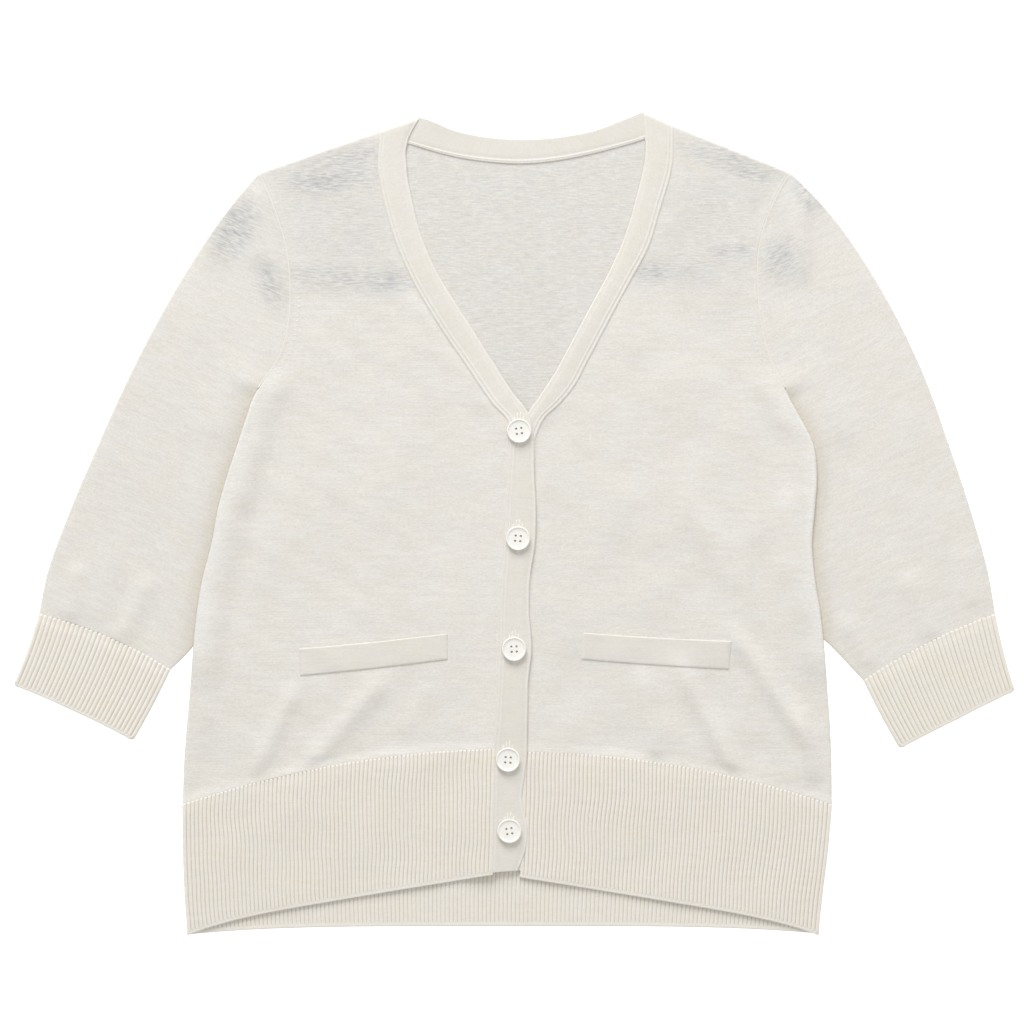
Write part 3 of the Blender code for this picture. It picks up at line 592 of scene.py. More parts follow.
def cloth(name, top, wall, material, nodes, relief=None, knit=None, shade=None, painted_light_and_shade=None):
    """A closed cloth shell. top is a grid of points of its outer face, relief stands out of it, and the
    wall lies below it. The border is rounded. knit gives each point its place in the fabric."""
    rows, columns = top.shape[:2]
    relief = np.zeros((rows, columns)) if relief is None else relief * np.ones((rows, columns))
    down = np.gradient(top, axis=0)
    across = np.gradient(top, axis=1)
    normal = unit(np.cross(across, down))
    if normal[rows // 2, len(FINE_EDGE) + 2, 2] < 0:
        normal = -normal
    outer = top + normal * relief[..., None]
    inner = top - normal * wall
    border = border_of(rows, columns)
    r, c = border[:, 0], border[:, 1]
    outward = np.zeros((len(border), 3))
    outward[c == 0] -= unit(across[r, c])[c == 0]
    outward[c == columns - 1] += unit(across[r, c])[c == columns - 1]
    outward[r == 0] -= unit(down[r, c])[r == 0]
    outward[r == rows - 1] += unit(down[r, c])[r == rows - 1]
    outward = unit(outward)
    middle = (outer[r, c] + inner[r, c]) / 2
    half = (wall + relief[r, c])[:, None] / 2
    rings = []
    for turn in np.radians(RIM_TURNS):
        out = outward * half * RIM_BULGE * math.sin(turn)
        rings.append(middle + out + normal[r, c] * half * math.cos(turn))
    points = np.vstack([outer.reshape(-1, 3), inner.reshape(-1, 3), *rings]) * MM
    points[:, 2] = np.maximum(points[:, 2], 0.0)

    index = np.arange(rows * columns).reshape(rows, columns)
    quads = np.stack([index[:-1, :-1], index[:-1, 1:], index[1:, 1:], index[1:, :-1]], -1).reshape(-1, 4)
    low = quads[:, ::-1] + rows * columns
    loop = index[r, c]
    circles = [loop]
    for ring in range(len(rings)):
        circles.append(2 * rows * columns + ring * len(border) + np.arange(len(border)))
    circles.append(loop + rows * columns)
    rims = []
    for a, b in zip(circles, circles[1:]):
        rims.append(np.stack([a, b, np.roll(b, -1), np.roll(a, -1)], -1))
    faces = np.vstack([quads, low, *rims])
    first = points[faces[0]]
    facing = np.cross(first[1] - first[0], first[2] - first[1])
    if np.dot(facing, normal[0, 0]) < 0:
        faces = faces[:, ::-1]

    mesh = bpy.data.meshes.new(f"{name}_cloth")
    mesh.vertices.add(len(points))
    mesh.vertices.foreach_set("co", points.astype(np.float32).ravel())
    mesh.loops.add(faces.size)
    mesh.loops.foreach_set("vertex_index", faces.astype(np.int32).ravel())
    mesh.polygons.add(len(faces))
    mesh.polygons.foreach_set("loop_start", np.arange(0, faces.size, 4, dtype=np.int32))
    mesh.update(calc_edges=True)
    mesh.validate()
    mesh.shade_smooth()

    def attribute(title, kind, grid):
        wide = grid.reshape(rows * columns, -1)
        values = np.vstack([wide, wide, *[grid[r, c].reshape(len(border), -1)] * len(rings)])
        key = "vector" if kind == "FLOAT_VECTOR" else "value"
        mesh.attributes.new(title, kind, "POINT").data.foreach_set(key, values.astype(np.float32).ravel())

    if knit is None:
        knit = top[..., :2]
    places = np.concatenate([knit, np.zeros((rows, columns, 1))], -1)
    attribute("knit", "FLOAT_VECTOR", places)
    highest = max(np.quantile(relief, 0.98), 1e-6)
    # The ridge attribute is also the mask of the painted groove shade.
    attribute("ridge", "FLOAT", np.clip(relief / highest, 0.0, 1.0))
    # The next attribute carries painted shade seen through thin cloth, the one after it the painted light
    # and shade of rims and hollows.
    attribute("sheer_shade", "FLOAT", np.zeros((rows, columns)) if shade is None else shade)
    attribute("painted_light_and_shade", "FLOAT", np.zeros((rows, columns)) if painted_light_and_shade is None else painted_light_and_shade)
    piece = link(f"{name}_cloth", mesh)
    mesh.materials.append(material)
    finish_piece(piece, nodes)
    return piece


def finish_piece(piece, nodes):
    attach(piece, "root")
    if nodes:
        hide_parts(*nodes)


def rib_top(x, centre):
    half = np.where(x > 0, BODY[0].left, BODY[0].right)
    return mix(centre, BODY[0].y, (x / half) ** 2)


def front_hem(x, side):
    centre = FRONT_HEM_LEFT if side > 0 else FRONT_HEM_RIGHT
    half = HEM_SIDES[-1].left if side > 0 else HEM_SIDES[-1].right
    sloped = centre - FRONT_HEM_SLOPE * np.abs(x)
    corner = HEM_SIDES[-1].y - (centre - FRONT_HEM_SLOPE * half)
    return sloped + corner * np.clip(np.abs(x) / half, 0, 1) ** FRONT_CORNER_POWER


def back_arch(x, depth):
    half = np.where(x > 0, BODY[0].left, BODY[0].right)
    return BACK_HEM_CENTRE + depth - BACK_HEM_DROP * np.clip(np.abs(x) / half, 0, 1.05) ** BACK_HEM_POWER


def shoulder_drop(x, y, side, radius):
    """The roll of the front over the straight shoulder line."""
    band = BANDS[side][-1]
    tip = (side * (BODY[-1].left if side > 0 else BODY[-1].right), BODY[-1].y)
    run = (band.seam_x - tip[0], band.seam_y - tip[1])
    below = ((x - tip[0]) * run[1] - (y - tip[1]) * run[0]) / math.hypot(*run) * side * -1
    return roll(np.maximum(below, 0.0), radius)


def rows_between(first, last, middle, start, end):
    """Fractional row numbers, with closer ones at the start and at the end."""
    even = np.linspace(first + start[-1], last - end[-1], middle + 2)[1:-1]
    return np.concatenate([first + np.array(start), even, last - np.array(end[::-1])])


def front_plan(side, bands):
    """The plan points of one front, rows from the rib to the shoulder and columns from the side in."""
    rows = rows_between(0, len(BODY) - 1, FRONT_GRID[0], START_ROWS, END_ROWS)
    outer = at_row(BODY_LINES[side], rows)
    seam = at_row(smooth_line([(b.seam_x + side * SEAM_GAP, b.seam_y) for b in bands]), rows)
    lengths = np.linalg.norm(seam - outer, axis=1)
    distance = spaced(lengths, FINE_EDGE, SEAM_EDGE, FRONT_GRID[1])
    share = (distance / lengths[:, None])[..., None]
    plan = outer[:, None] + (seam - outer)[:, None] * share
    fade = 1 - eased(0.0, 5.0, rows)[:, None]
    level = mix(seam[0, 1], outer[0, 1], 1 - share[0, :, 0])
    plan[..., 1] += (rib_top(plan[..., 0], bands[0].seam_y) - level) * fade
    return rows, plan, distance, lengths


def front_folds(x, y, side):
    """The height of one front's creases and low waves."""
    low_waves = waves(x, y, FRONT_WAVES, side) + waves(x, y, FRONT_RIPPLES, side)
    return fold_height(FRONT_FOLDS, x, y) + low_waves


def make_front(name, side, bands, material):
    rows, plan, distance, lengths = front_plan(side, bands)
    x, y = plan[..., 0], plan[..., 1]
    lap = np.interp(rows, np.arange(len(bands)), [b.lap for b in bands])[:, None]
    from_seam = lengths[:, None] - distance
    climb = FRONT_CLIMB * lap * soft(1 - ramp(0.0, LAP_WIDTH, from_seam))
    above_rib = y - rib_top(x, bands[0].seam_y)
    from_seams = np.minimum(np.minimum(from_seam, above_rib), distance)
    z = FRONT_TOP + lift(x, y) + climb + front_folds(x, y, side) * eased(0.0, 10.0, from_seams)
    at_hole = eased(UNDERARM - 1.0, UNDERARM + 1.0, rows)[:, None]
    z -= roll(distance, SIDE_ROLL) * (1 - at_hole) + roll(distance, ARMHOLE_ROLL) * at_hole
    z -= shoulder_drop(x, y, side, SIDE_ROLL)
    z += 0.8 * (1 - eased(0.0, 7.0, above_rib))
    relief = 0.25 * bell(distance - 1.0, 0.5) * at_hole + 0.2 * bell(from_seam - 1.8, 0.6)
    # Painted highlight: the thin side is lightened where it lies on a sleeve.
    beside_sleeve = eased(*RIM_LIGHT_FROM_TOP, y) * eased(*RIM_LIGHT_FROM_BOTTOM, y)
    return cloth(name, np.dstack([x, y, z]), JERSEY_WALL, material, [name], relief=relief,
                 shade=sheer_shade_patches(x, y), painted_light_and_shade=-bell(distance, RIM_LIGHT_WIDTH) * beside_sleeve)


def sheer_shade_patches(x, y):
    """How much painted shade shows through the thin jersey at a point, from the strongest patch there."""
    shade = np.zeros_like(x)
    for patch in SHADE_PATCHES:
        turn = math.radians(patch.turn)
        run = (x - patch.x) * math.cos(turn) + (y - patch.y) * math.sin(turn)
        rise = (y - patch.y) * math.cos(turn) - (x - patch.x) * math.sin(turn)
        reach = (run / patch.wide / 1.2) ** 2 + (rise / patch.tall / 1.1) ** 2
        shade = np.maximum(shade, patch.strength * np.exp(-(reach**1.2)))
    return shade


def make_back(material):
    """The back: rows from the rib to the shoulders, inside the fronts' rolled sides."""
    rows = rows_between(0, len(BODY) - 1, BACK_GRID[0], START_ROWS, END_ROWS)
    right = at_row(BODY_LINES[-1], rows) + (BACK_INSET, 0.0)
    left = at_row(BODY_LINES[1], rows) - (BACK_INSET, 0.0)
    lengths = left[:, 0] - right[:, 0]
    distance = spaced(lengths, FINE_EDGE, FINE_EDGE, BACK_GRID[1])
    x = right[:, :1] + distance
    y = np.tile(mix(right[:, 1:], left[:, 1:], 0.5), (1, x.shape[1]))
    neck = smooth_line([(n.seam_x, n.seam_y - SEAM_GAP) for n in BACK_NECK])
    neck_points = at_share(neck, np.linspace(0, 1, 300))
    line = [(-BODY[-1].right, BODY[-1].y), *neck_points, (BODY[-1].left, BODY[-1].y)]
    line_x = [p[0] for p in line]
    line_y = [p[1] for p in line]
    top_rise = np.interp(x, line_x, line_y) - 0.6 - BODY[-1].y
    bottom_rise = back_arch(x, BACK_RIB_DEPTH) + SEAM_GAP - BODY[0].y
    y = y + bottom_rise * ramp(3, 0, rows)[:, None] + top_rise * ramp(16, len(BODY) - 1, rows)[:, None]
    z = BACK_TOP + lift(x, y)
    # Painted shade: the whole back is greyed evenly with the sheer grey, darker than the fronts as where it
    # lies shaded within the V.
    return cloth("back", np.dstack([x, y, z]), JERSEY_WALL, material, ["back"],
                 shade=np.full_like(x, BACK_SHEER_SHADE))


def hem_line(side):
    return smooth_line([(side * (h.left if side > 0 else h.right), h.y) for h in HEM_SIDES])


def rib_ridges(columns, ribs):
    """The relief of 1x1 ribs at each column: a round wale with a narrow groove on each side."""
    phase = np.linspace(0, ribs, columns)
    return np.abs(np.sin(math.pi * phase)) ** 0.6


def with_lip(relief, from_end):
    """Ribs that run into one smooth lip along the end of the cloth."""
    lip = eased(2.4, 1.3, from_end)
    return mix(relief, LIP_SHARE * RIB_RELIEF, lip) * np.ones_like(relief)


def make_front_rib(name, side, bands, material):
    columns = HEM_RIBS * RIB_SAMPLES + 1
    depth = FRONT_RIB_DEPTH
    share = spaced(np.array([depth]), RIB_ROWS_TOP, RIB_ROWS_HEM, 20)[0] / depth
    outer = at_share(hem_line(side), share)[:, 0]
    low = (RIGHT_BAND_HEM if side < 0 else LEFT_BAND_HEM)[-1]
    seam = mix(bands[0].seam_x, low.seam_x, share) + side * SEAM_GAP
    u = np.linspace(0, 1, columns)
    x = outer[:, None] + (seam - outer)[:, None] * u
    y = mix(rib_top(x, bands[0].seam_y), front_hem(x, side), share[:, None])
    from_side = np.abs(x - outer[:, None])
    from_seam = np.abs(x - seam[:, None])
    inside = ramp(0.0, 12.0, from_side) * ramp(0.0, 12.0, from_seam)
    x = x + waves(x * 0.6, y, RIB_SWAY, side) * inside
    climb = FRONT_CLIMB * bands[0].lap * soft(1 - ramp(0.0, LAP_WIDTH, from_seam))
    down = (share * depth)[:, None]
    z = FRONT_RIB_TOP + climb + waves(x, y, RIB_WAVES, side)
    z -= 0.5 * (1 - eased(0.0, 5.0, down))
    z += 0.2 * eased(depth - 22.0, depth, down) * eased(0.0, 60.0, from_side)
    z -= roll(from_side, SIDE_ROLL)
    relief = rib_ridges(columns, HEM_RIBS) * RIB_RELIEF
    relief = relief * (1 + 0.45 * bell(down - 0.9, 0.8))
    relief = with_lip(relief, depth - down)
    return cloth(name, np.dstack([x, y, z]), RIB_WALL, material, [name], relief=relief)


def make_back_rib(material):
    ribs = 2 * HEM_RIBS
    columns = ribs * RIB_SAMPLES + 1
    depth = BACK_RIB_SHOWN
    share = spaced(np.array([depth]), RIB_ROWS_TOP, RIB_ROWS_HEM, 8)[0] / depth
    right = at_share(hem_line(-1), share)[:, 0] + BACK_INSET
    left = at_share(hem_line(1), share)[:, 0] - BACK_INSET
    u = np.linspace(0, 1, columns)
    x = right[:, None] + (left - right)[:, None] * u
    y = back_arch(x, BACK_RIB_DEPTH * (1 - share[:, None]))
    down = (share * depth)[:, None]
    z = np.full_like(x, BACK_RIB_TOP)
    relief = rib_ridges(columns, ribs) * RIB_RELIEF * 0.7
    relief = with_lip(relief, depth - down)
    return cloth("back_hem_rib", np.dstack([x, y, z]), RIB_WALL, material, ["back_hem_rib"],
                 relief=relief)


def band_plan(stations, rows, shift, overlap, edges, middle):
    """The plan of a band from its sewn edge to its free one, which shift moves along X."""
    seam = at_row(smooth_line([(s.seam_x, s.seam_y) for s in stations]), rows)
    edge = at_row(smooth_line([(s.edge_x, s.edge_y) for s in stations]), rows)
    edge[:, 0] += shift
    across = unit(edge - seam)
    seam = seam - across * overlap
    lengths = np.linalg.norm(edge - seam, axis=1)
    distance = spaced(lengths, *edges, middle)
    return seam[:, None] + across[:, None] * distance[..., None], seam, distance, lengths


def make_band(name, stations, side, material):
    """A front band: two fine seam ridges along its sewn edge on the jersey, and a thick free edge."""
    count = len(stations)
    rows = rows_between(0, count - 1, BAND_GRID[0], BAND_END_ROWS, END_ROWS)
    bow = SHOULDER_BOW * np.sin(math.pi * ramp(count - 2, count - 1, rows))
    shift = -bow if side < 0 else 0.0
    edges = (BAND_SEAM_EDGE, BAND_FREE_EDGE)
    plan, _, distance, lengths = band_plan(stations, rows, shift, BAND_OVERLAP, edges, BAND_GRID[1])
    x, y = plan[..., 0], plan[..., 1]
    lap = np.interp(rows, np.arange(count), [s.lap for s in stations])[:, None]
    jersey = FRONT_TOP + FRONT_CLIMB * lap + 0.9
    in_rib = 1 - ramp(count - len(BODY) - 1.0, count - len(BODY), rows)[:, None]
    jersey = jersey + in_rib * (FRONT_RIB_TOP - FRONT_TOP) * 0.8
    full = BAND_TOP + LAP_RISE * lap
    z = mix(jersey - 0.35, full, eased(0.0, 8.0, distance))
    from_edge = lengths[:, None] - distance
    z -= 0.9 * (1 - eased(0.0, 5.0, from_edge)) + roll(from_edge, BAND_EDGE_ROLL)
    z -= shoulder_roll(plan, stations[-1], side)
    relief = 0.30 * bell(distance - 0.9, 0.55) + 0.34 * bell(distance - 3.4, 0.55)
    relief = relief + 0.45 * bell(from_edge - 0.9, 0.8)
    knit = np.dstack([distance, np.tile(rows[:, None] * ROW_LENGTH, (1, distance.shape[1]))])
    return cloth(name, np.dstack([x, y, z]), BAND_WALL, material, [name], relief=relief, knit=knit)


def shoulder_roll(plan, last, side):
    """The drop of a band's end at the shoulder, where it turns down to meet the back neckband."""
    run = np.array([last.edge_x - last.seam_x, last.edge_y - last.seam_y])
    run = run / np.linalg.norm(run)
    below = (plan[..., 0] - last.seam_x) * run[1] - (plan[..., 1] - last.seam_y) * run[0]
    return roll(np.maximum(below * -side, 0.0), 2.4)


def make_back_neckband(material):
    """The band round the back of the neck, with a stitched seam ridge along its lower edge."""
    count = len(BACK_NECK)
    rows = rows_between(0, count - 1, NECK_GRID[0], NECK_END_ROWS, NECK_END_ROWS)
    edges = (NECK_SEAM_EDGE, NECK_FREE_EDGE)
    plan, seam, distance, lengths = band_plan(BACK_NECK, rows, 0.0, NECK_OVERLAP, edges, NECK_GRID[1])
    z = 1.75 + 0.25 * eased(2.0, 6.0, distance) - roll(lengths[:, None] - distance, BAND_EDGE_ROLL)
    along = np.linalg.norm(np.diff(seam, axis=0), axis=1)
    run = np.concatenate([[0.0], np.cumsum(along)])[:, None]
    stitch = 0.5 + 0.5 * np.cos(2 * math.pi * run / SEAM_STITCH)
    relief = 0.35 * bell(distance - 1.7, 0.65) + 0.25 * stitch * bell(distance - 0.3, 0.5)
    knit = np.dstack([distance, np.tile(run, (1, distance.shape[1]))])
    return cloth("back_neckband", np.dstack([plan[..., 0], plan[..., 1], z]), BAND_WALL, material,
                 ["back_neckband"], relief=relief, knit=knit)


def tube_section(inner, outer, bow, height, near_radius, middle):
    """Crosswise lines of a flattened tube, from its inner edge over the upper layer, round the outer edge
    and back below to the inner edge. It returns the points and each column's place across the cloth."""
    far = height / 2
    lengths = np.linalg.norm(outer - inner, axis=1)
    across = unit(outer - inner)
    rise = np.column_stack([-across[:, 1], across[:, 0]])
    rise = rise * np.sign(rise[:, 1:])
    near_turns = np.linspace(math.pi / 2, 0, 5)
    far_turns = np.linspace(0, math.pi, 11)
    flat = np.linspace(0, 1, middle + 2)[1:-1]
    ones = np.ones_like(lengths)[:, None]
    near = near_radius[:, None]
    near_d = near * (1 - np.sin(near_turns))
    near_z = height - near * (1 - np.cos(near_turns))
    flat_d = near + (lengths[:, None] - near - far) * flat
    far_d = lengths[:, None] - far * (1 - np.sin(far_turns))
    far_z = far + far * np.cos(far_turns) * ones
    low_d = flat_d[:, ::-1]
    back_d = near_d[:, ::-1]
    back_z = near[:, ::-1] * (1 - np.cos(near_turns[::-1]))
    distance = np.hstack([near_d, flat_d, far_d, low_d, back_d])
    z = np.hstack([near_z, height * np.ones_like(flat_d), far_z, np.zeros_like(low_d), back_z])
    share = distance / lengths[:, None]
    bend = (bow[:, None] * 4 * share * (1 - share))[..., None]
    plan = inner[:, None] + across[:, None] * distance[..., None] + rise[:, None] * bend
    return np.dstack([plan, z]), distance, lengths


def sleeve_rows(sleeve):
    """The inner and outer ends of a sleeve's crosswise lines, and how far down the sleeve each lies."""
    side = sleeve.side
    heights = np.linspace(BODY[-1].y, UNDERARM_Y, 60)
    hole = np.column_stack([side * (side_at(heights, side) + SEAM_GAP), heights])
    hole_line = smooth_line(hole)
    outer_line = smooth_line([hole[0], *sleeve.outer, sleeve.cuff_top[0]])
    under = [tuple(hole[-1])]
    under += [(side * (float(side_at(y, side)) - tuck), y) for y, tuck in SLIPS_UNDER]
    under += [(side * (float(side_at(y, side)) - TUCK), y) for y in TUCK_ROWS]
    under += [sleeve.leaves, sleeve.cuff_top[1]]
    under_line = smooth_line(under)
    cap = np.linspace(SHOULDER_TIP, 1.0, CAP_LINES)
    below = rows_between(0.0, 1.0, ARM_GRID[0], (0.0, 0.01), (0.0, 0.004, 0.01, 0.02, 0.04))[1:]
    inner = np.vstack([at_share(hole_line, cap), at_share(under_line, below)])
    down = np.concatenate([CAP_SHARE * cap, mix(CAP_SHARE, 1.0, below)])
    closed = np.concatenate([np.zeros(len(cap)), eased(0.0, 0.06, below)])
    return inner, at_share(outer_line, down), down, closed


def turned(x, y, tilt):
    turn = math.radians(tilt)
    return np.dstack([x * math.cos(turn) - y * math.sin(turn), x * math.sin(turn) + y * math.cos(turn)])


def make_sleeve(name, sleeve, material):
    inner, outer, down, closed = sleeve_rows(sleeve)
    near = mix(0.35, SLEEVE_HEIGHT / 2, closed)
    bow = sleeve.top_bow * down
    top, distance, lengths = tube_section(inner, outer, bow, SLEEVE_HEIGHT, near, ARM_GRID[1])
    x, y = top[..., 0], top[..., 1]
    upper = ramp(SLEEVE_HEIGHT * 0.5, SLEEVE_HEIGHT, top[..., 2])
    loose = upper * eased(0.0, 14.0, distance) * eased(0.0, 8.0, lengths[:, None] - distance)
    top[..., 2] += upper * fold_height(SLEEVE_FOLDS, x, y)
    top[..., 2] += loose * (waves(x, y, SLEEVE_WAVES, sleeve.side) + 0.3)
    at_hole = (1 - closed)[:, None] * upper
    relief = 0.22 * bell(distance - 0.9, 0.45) * at_hole
    raised = LIFT * eased(*LIFT_TOP, inner[:, 1])[:, None] * (1 - ramp(0.0, 1.0, closed))[:, None]
    top[..., 2] += raised * upper * (1 - eased(0.0, RAISED_REACH, distance))
    # Painted shadow: the sleeve is darkened warm in the hollow beside the body's side.
    return cloth(name, top, JERSEY_WALL, material, [name], relief=relief,
                 knit=turned(x, y, -sleeve.tilt), shade=sheer_shade_patches(x, y) * upper,
                 painted_light_and_shade=bell(np.abs(x) - side_at(y, sleeve.side), HOLLOW_SHADE_WIDTH) * eased(*HOLLOW_SHADE_FROM_TOP, y))


def make_cuff(name, sleeve, material):
    columns_up = CUFF_RIBS * RIB_SAMPLES
    share = spaced(np.array([CUFF_DEPTH]), RIB_ROWS_TOP, RIB_ROWS_HEM, 14)[0] / CUFF_DEPTH
    gap = 0.004
    ends = []
    for end in (1, 0):
        a = np.array(sleeve.cuff_top[end])
        b = np.array(sleeve.cuff_bottom[end])
        ends.append(a + (b - a) * mix(gap, 1.0, share)[:, None])
    hollow = 1.3 * np.sin(math.pi * share)
    inward = unit(ends[1] - ends[0])
    corner = roll(CUFF_DEPTH * (1 - share), CUFF_CORNER_ROLL)[:, None]
    ends = (ends[0] + inward * corner, ends[1] - inward * corner)
    outer = ends[1] - inward * hollow[:, None] * 0.8
    inner = ends[0] - inward * hollow[:, None] * 0.5
    bow = mix(sleeve.top_bow, sleeve.bottom_bow, share)
    height = CUFF_HEIGHT
    near = np.full(len(share), height / 2)
    top, distance, lengths = tube_section(inner, outer, bow, height, near, columns_up)
    x, y, z = top[..., 0], top[..., 1], top[..., 2]
    down = (share * CUFF_DEPTH)[:, None]
    taper = 1 - 0.24 * (1 - eased(0.0, 7.0, down))
    top[..., 2] = z * taper + (1 - taper) * 0.2
    phase = distance / lengths[:, None] * CUFF_RIBS
    relief = np.abs(np.sin(math.pi * phase)) ** 0.85 * RIB_RELIEF
    under = ramp(height / 2, 0.0, z)
    relief = relief * (1 - 0.75 * under)
    relief = with_lip(relief * (1 + 0.4 * bell(down - 0.9, 0.8)), CUFF_DEPTH - down)
    return cloth(name, top, RIB_WALL, material, [name], relief=relief, knit=turned(x, y, -sleeve.tilt))


def make_welt(name, welt, material):
    """A pocket welt, folded over along its top edge and sewn down at its ends and lower edge."""
    u = np.linspace(0, 1, WELT_GRID[1])
    top_edge = mix(np.array(welt.top_a), np.array(welt.top_b), u[:, None])
    low_edge = mix(np.array(welt.bottom_a), np.array(welt.bottom_b), u[:, None])
    bowed = np.sin(math.pi * u)
    top_edge[:, 1] -= 0.7 * bowed
    low_edge[:, 1] -= 0.5 * bowed
    depth = spaced(np.array([WELT_DEPTH]), WELT_ROWS, WELT_ROWS, WELT_GRID[0])[0] / WELT_DEPTH
    plan = top_edge[None] + (low_edge - top_edge)[None] * depth[:, None, None]
    x, y = plan[..., 0], plan[..., 1]
    down = (depth * WELT_DEPTH)[:, None]
    from_end = np.minimum(u, 1 - u)[None] * WELT_LENGTH
    from_bottom = WELT_DEPTH - down
    side = 1 if welt.top_a[0] > 0 else -1
    z = WELT_TOP + front_folds(x, y, side)
    sewn = np.minimum(from_bottom, from_end)
    z = z + 0.1 * (1 - eased(0.0, 5.0, down)) - 0.4 * (1 - eased(0.0, 3.5, sewn))
    z = z - roll(down, WELT_ROLL) - roll(from_bottom, WELT_ROLL) - roll(from_end, WELT_ROLL)
    relief = 0.12 * bell(from_bottom - 1.6, 0.5)
    return cloth(name, np.dstack([x, y, z]), WELT_WALL, material, [name], relief=relief)


def turned_disc(bm, profile, radius, height, steps):
    """A turned solid from half a section: rings of faces round the Z axis."""
    rings = []
    for ring in profile:
        if ring.out == 0.0:
            rings.append([bm.verts.new((0.0, 0.0, ring.up * height * MM))])
            continue
        turns = [2 * math.pi * k / steps for k in range(steps)]
        reach = ring.out * radius * MM
        up = ring.up * height * MM
        rings.append([bm.verts.new((reach * math.cos(t), reach * math.sin(t), up)) for t in turns])
    for a, b in zip(rings, rings[1:]):
        for k in range(steps):
            after = (k + 1) % steps
            corners = [a[k % len(a)], b[k % len(b)], b[after % len(b)], a[after % len(a)]]
            unique = list(dict.fromkeys(corners))
            bm.faces.new(unique)
    bmesh.ops.recalc_face_normals(bm, faces=bm.faces)


def button_mesh(material):
    """One four-hole button, its holes cut through, shaded smooth with edges over 50 degrees kept sharp."""
    bm = bmesh.new()
    turned_disc(bm, BUTTON_PROFILE, BUTTON_RADIUS, BUTTON_THICKNESS, BUTTON_STEPS)
    disc = link("button_disc", mesh_of("button", bm))
    cutter_bm = bmesh.new()
    for hole in range(HOLE_COUNT):
        turn = 2 * math.pi * (hole + 0.5) / HOLE_COUNT
        shift = Vector((math.cos(turn), math.sin(turn), 0.0)) * HOLE_SPREAD * MM
        made = bmesh.ops.create_cone(cutter_bm, cap_ends=True, segments=24, radius1=HOLE_RADIUS * MM,
                                     radius2=HOLE_RADIUS * MM, depth=3 * BUTTON_THICKNESS * MM)
        bmesh.ops.translate(cutter_bm, verts=made["verts"], vec=shift)
    cutter = link("button_holes", mesh_of("button_holes", cutter_bm))
    cut = disc.modifiers.new("holes", "BOOLEAN")
    cut.operation = "DIFFERENCE"
    cut.object = cutter
    graph = bpy.context.evaluated_depsgraph_get()
    finished = bpy.data.meshes.new_from_object(disc.evaluated_get(graph))
    bpy.data.objects.remove(disc)
    bpy.data.objects.remove(cutter)
    finished.materials.clear()
    finished.materials.append(material)
    finished.shade_smooth()
    finished.set_sharp_from_angle(angle=math.radians(50))
    return finished


def add_strand(bm, points, radius, sides=8):
    """A round thread through points, with closed ends."""
    points = [Vector(p) for p in points]
    rings = []
    for k, point in enumerate(points):
        ahead = points[min(k + 1, len(points) - 1)] - points[max(k - 1, 0)]
        ahead.normalize()
        side = ahead.cross(Vector((0, 0, 1)))
        if side.length < 0.1:
            side = ahead.cross(Vector((0, 1, 0)))
        side.normalize()
        up = side.cross(ahead)
        ring = []
        for s in range(sides):
            turn = 2 * math.pi * s / sides
            ring.append(bm.verts.new((point + (side * math.cos(turn) + up * math.sin(turn)) * radius) * MM))
        rings.append(ring)
    for a, b in zip(rings, rings[1:]):
        for s in range(sides):
            after = (s + 1) % sides
            bm.faces.new((a[s], a[after], b[after], b[s]))
    bm.faces.new(rings[0][::-1])
    bm.faces.new(rings[-1])


def strands_piece(name, strands, radius, material):
    bm = bmesh.new()
    for strand in strands:
        add_strand(bm, strand, radius)
    bmesh.ops.recalc_face_normals(bm, faces=bm.faces)
    mesh = mesh_of(name, bm)
    mesh.shade_smooth()
    mesh.materials.append(material)
    piece = link(name, mesh)
    finish_piece(piece, [])
    return piece


def make_buttons(button_material, thread_material):
    """The buttons, each a little turned, with thread through the holes."""
    mesh = button_mesh(button_material)
    turns = (8.0, -5.0, 3.0, -4.0, 10.0)
    for number, ((x, y), turn) in enumerate(zip(BUTTONS, turns), start=1):
        button = link(f"fine_button_{number}", mesh)
        button.location = Vector((x, y, BUTTON_BASE)) * MM
        button.rotation_euler = (0.0, 0.0, math.radians(turn))
        finish_piece(button, [f"button_{number}"])
        strands = []
        floor = BUTTON_BASE + 0.5 * BUTTON_THICKNESS
        reach = HOLE_SPREAD * math.cos(math.pi / 4)
        for column in (-1, 1):
            for offset in (-0.28, 0.0, 0.28):
                strand = []
                for step in np.linspace(-1, 1, 9):
                    local_x = column * reach + offset
                    local_y = step * (reach + 0.25)
                    high = floor - 0.8 * abs(step)
                    c, s = math.cos(math.radians(turn)), math.sin(math.radians(turn))
                    strand.append((x + local_x * c - local_y * s, y + local_x * s + local_y * c, high))
                strands.append(strand)
        strands_piece(f"button_thread_{number}", strands, 0.17, thread_material)


def make_buttonholes(thread_material):
    """The stitched ends of the upright buttonholes above and below each button."""
    strands = []
    top = BAND_TOP + LAP_RISE
    bars = ((1, -1.2, 4.4), (1, 1.2, 4.8), (1, -3.4, 1.6), (1, 3.2, 1.8), (-1, -0.6, 2.4), (-1, 0.6, 2.4))
    for x, y in BUTTONS:
        for side, offset, reach in bars:
            start = y + side * (BUTTON_RADIUS - 1.5)
            end = y + side * (BUTTON_RADIUS + reach)
            steps = np.linspace(0, 1, 7)
            strands.append([(x + offset, mix(start, end, s), top + 0.05 - 0.25 * s ** 4) for s in steps])
    return strands_piece("buttonhole_stitches", strands, 0.38, thread_material)


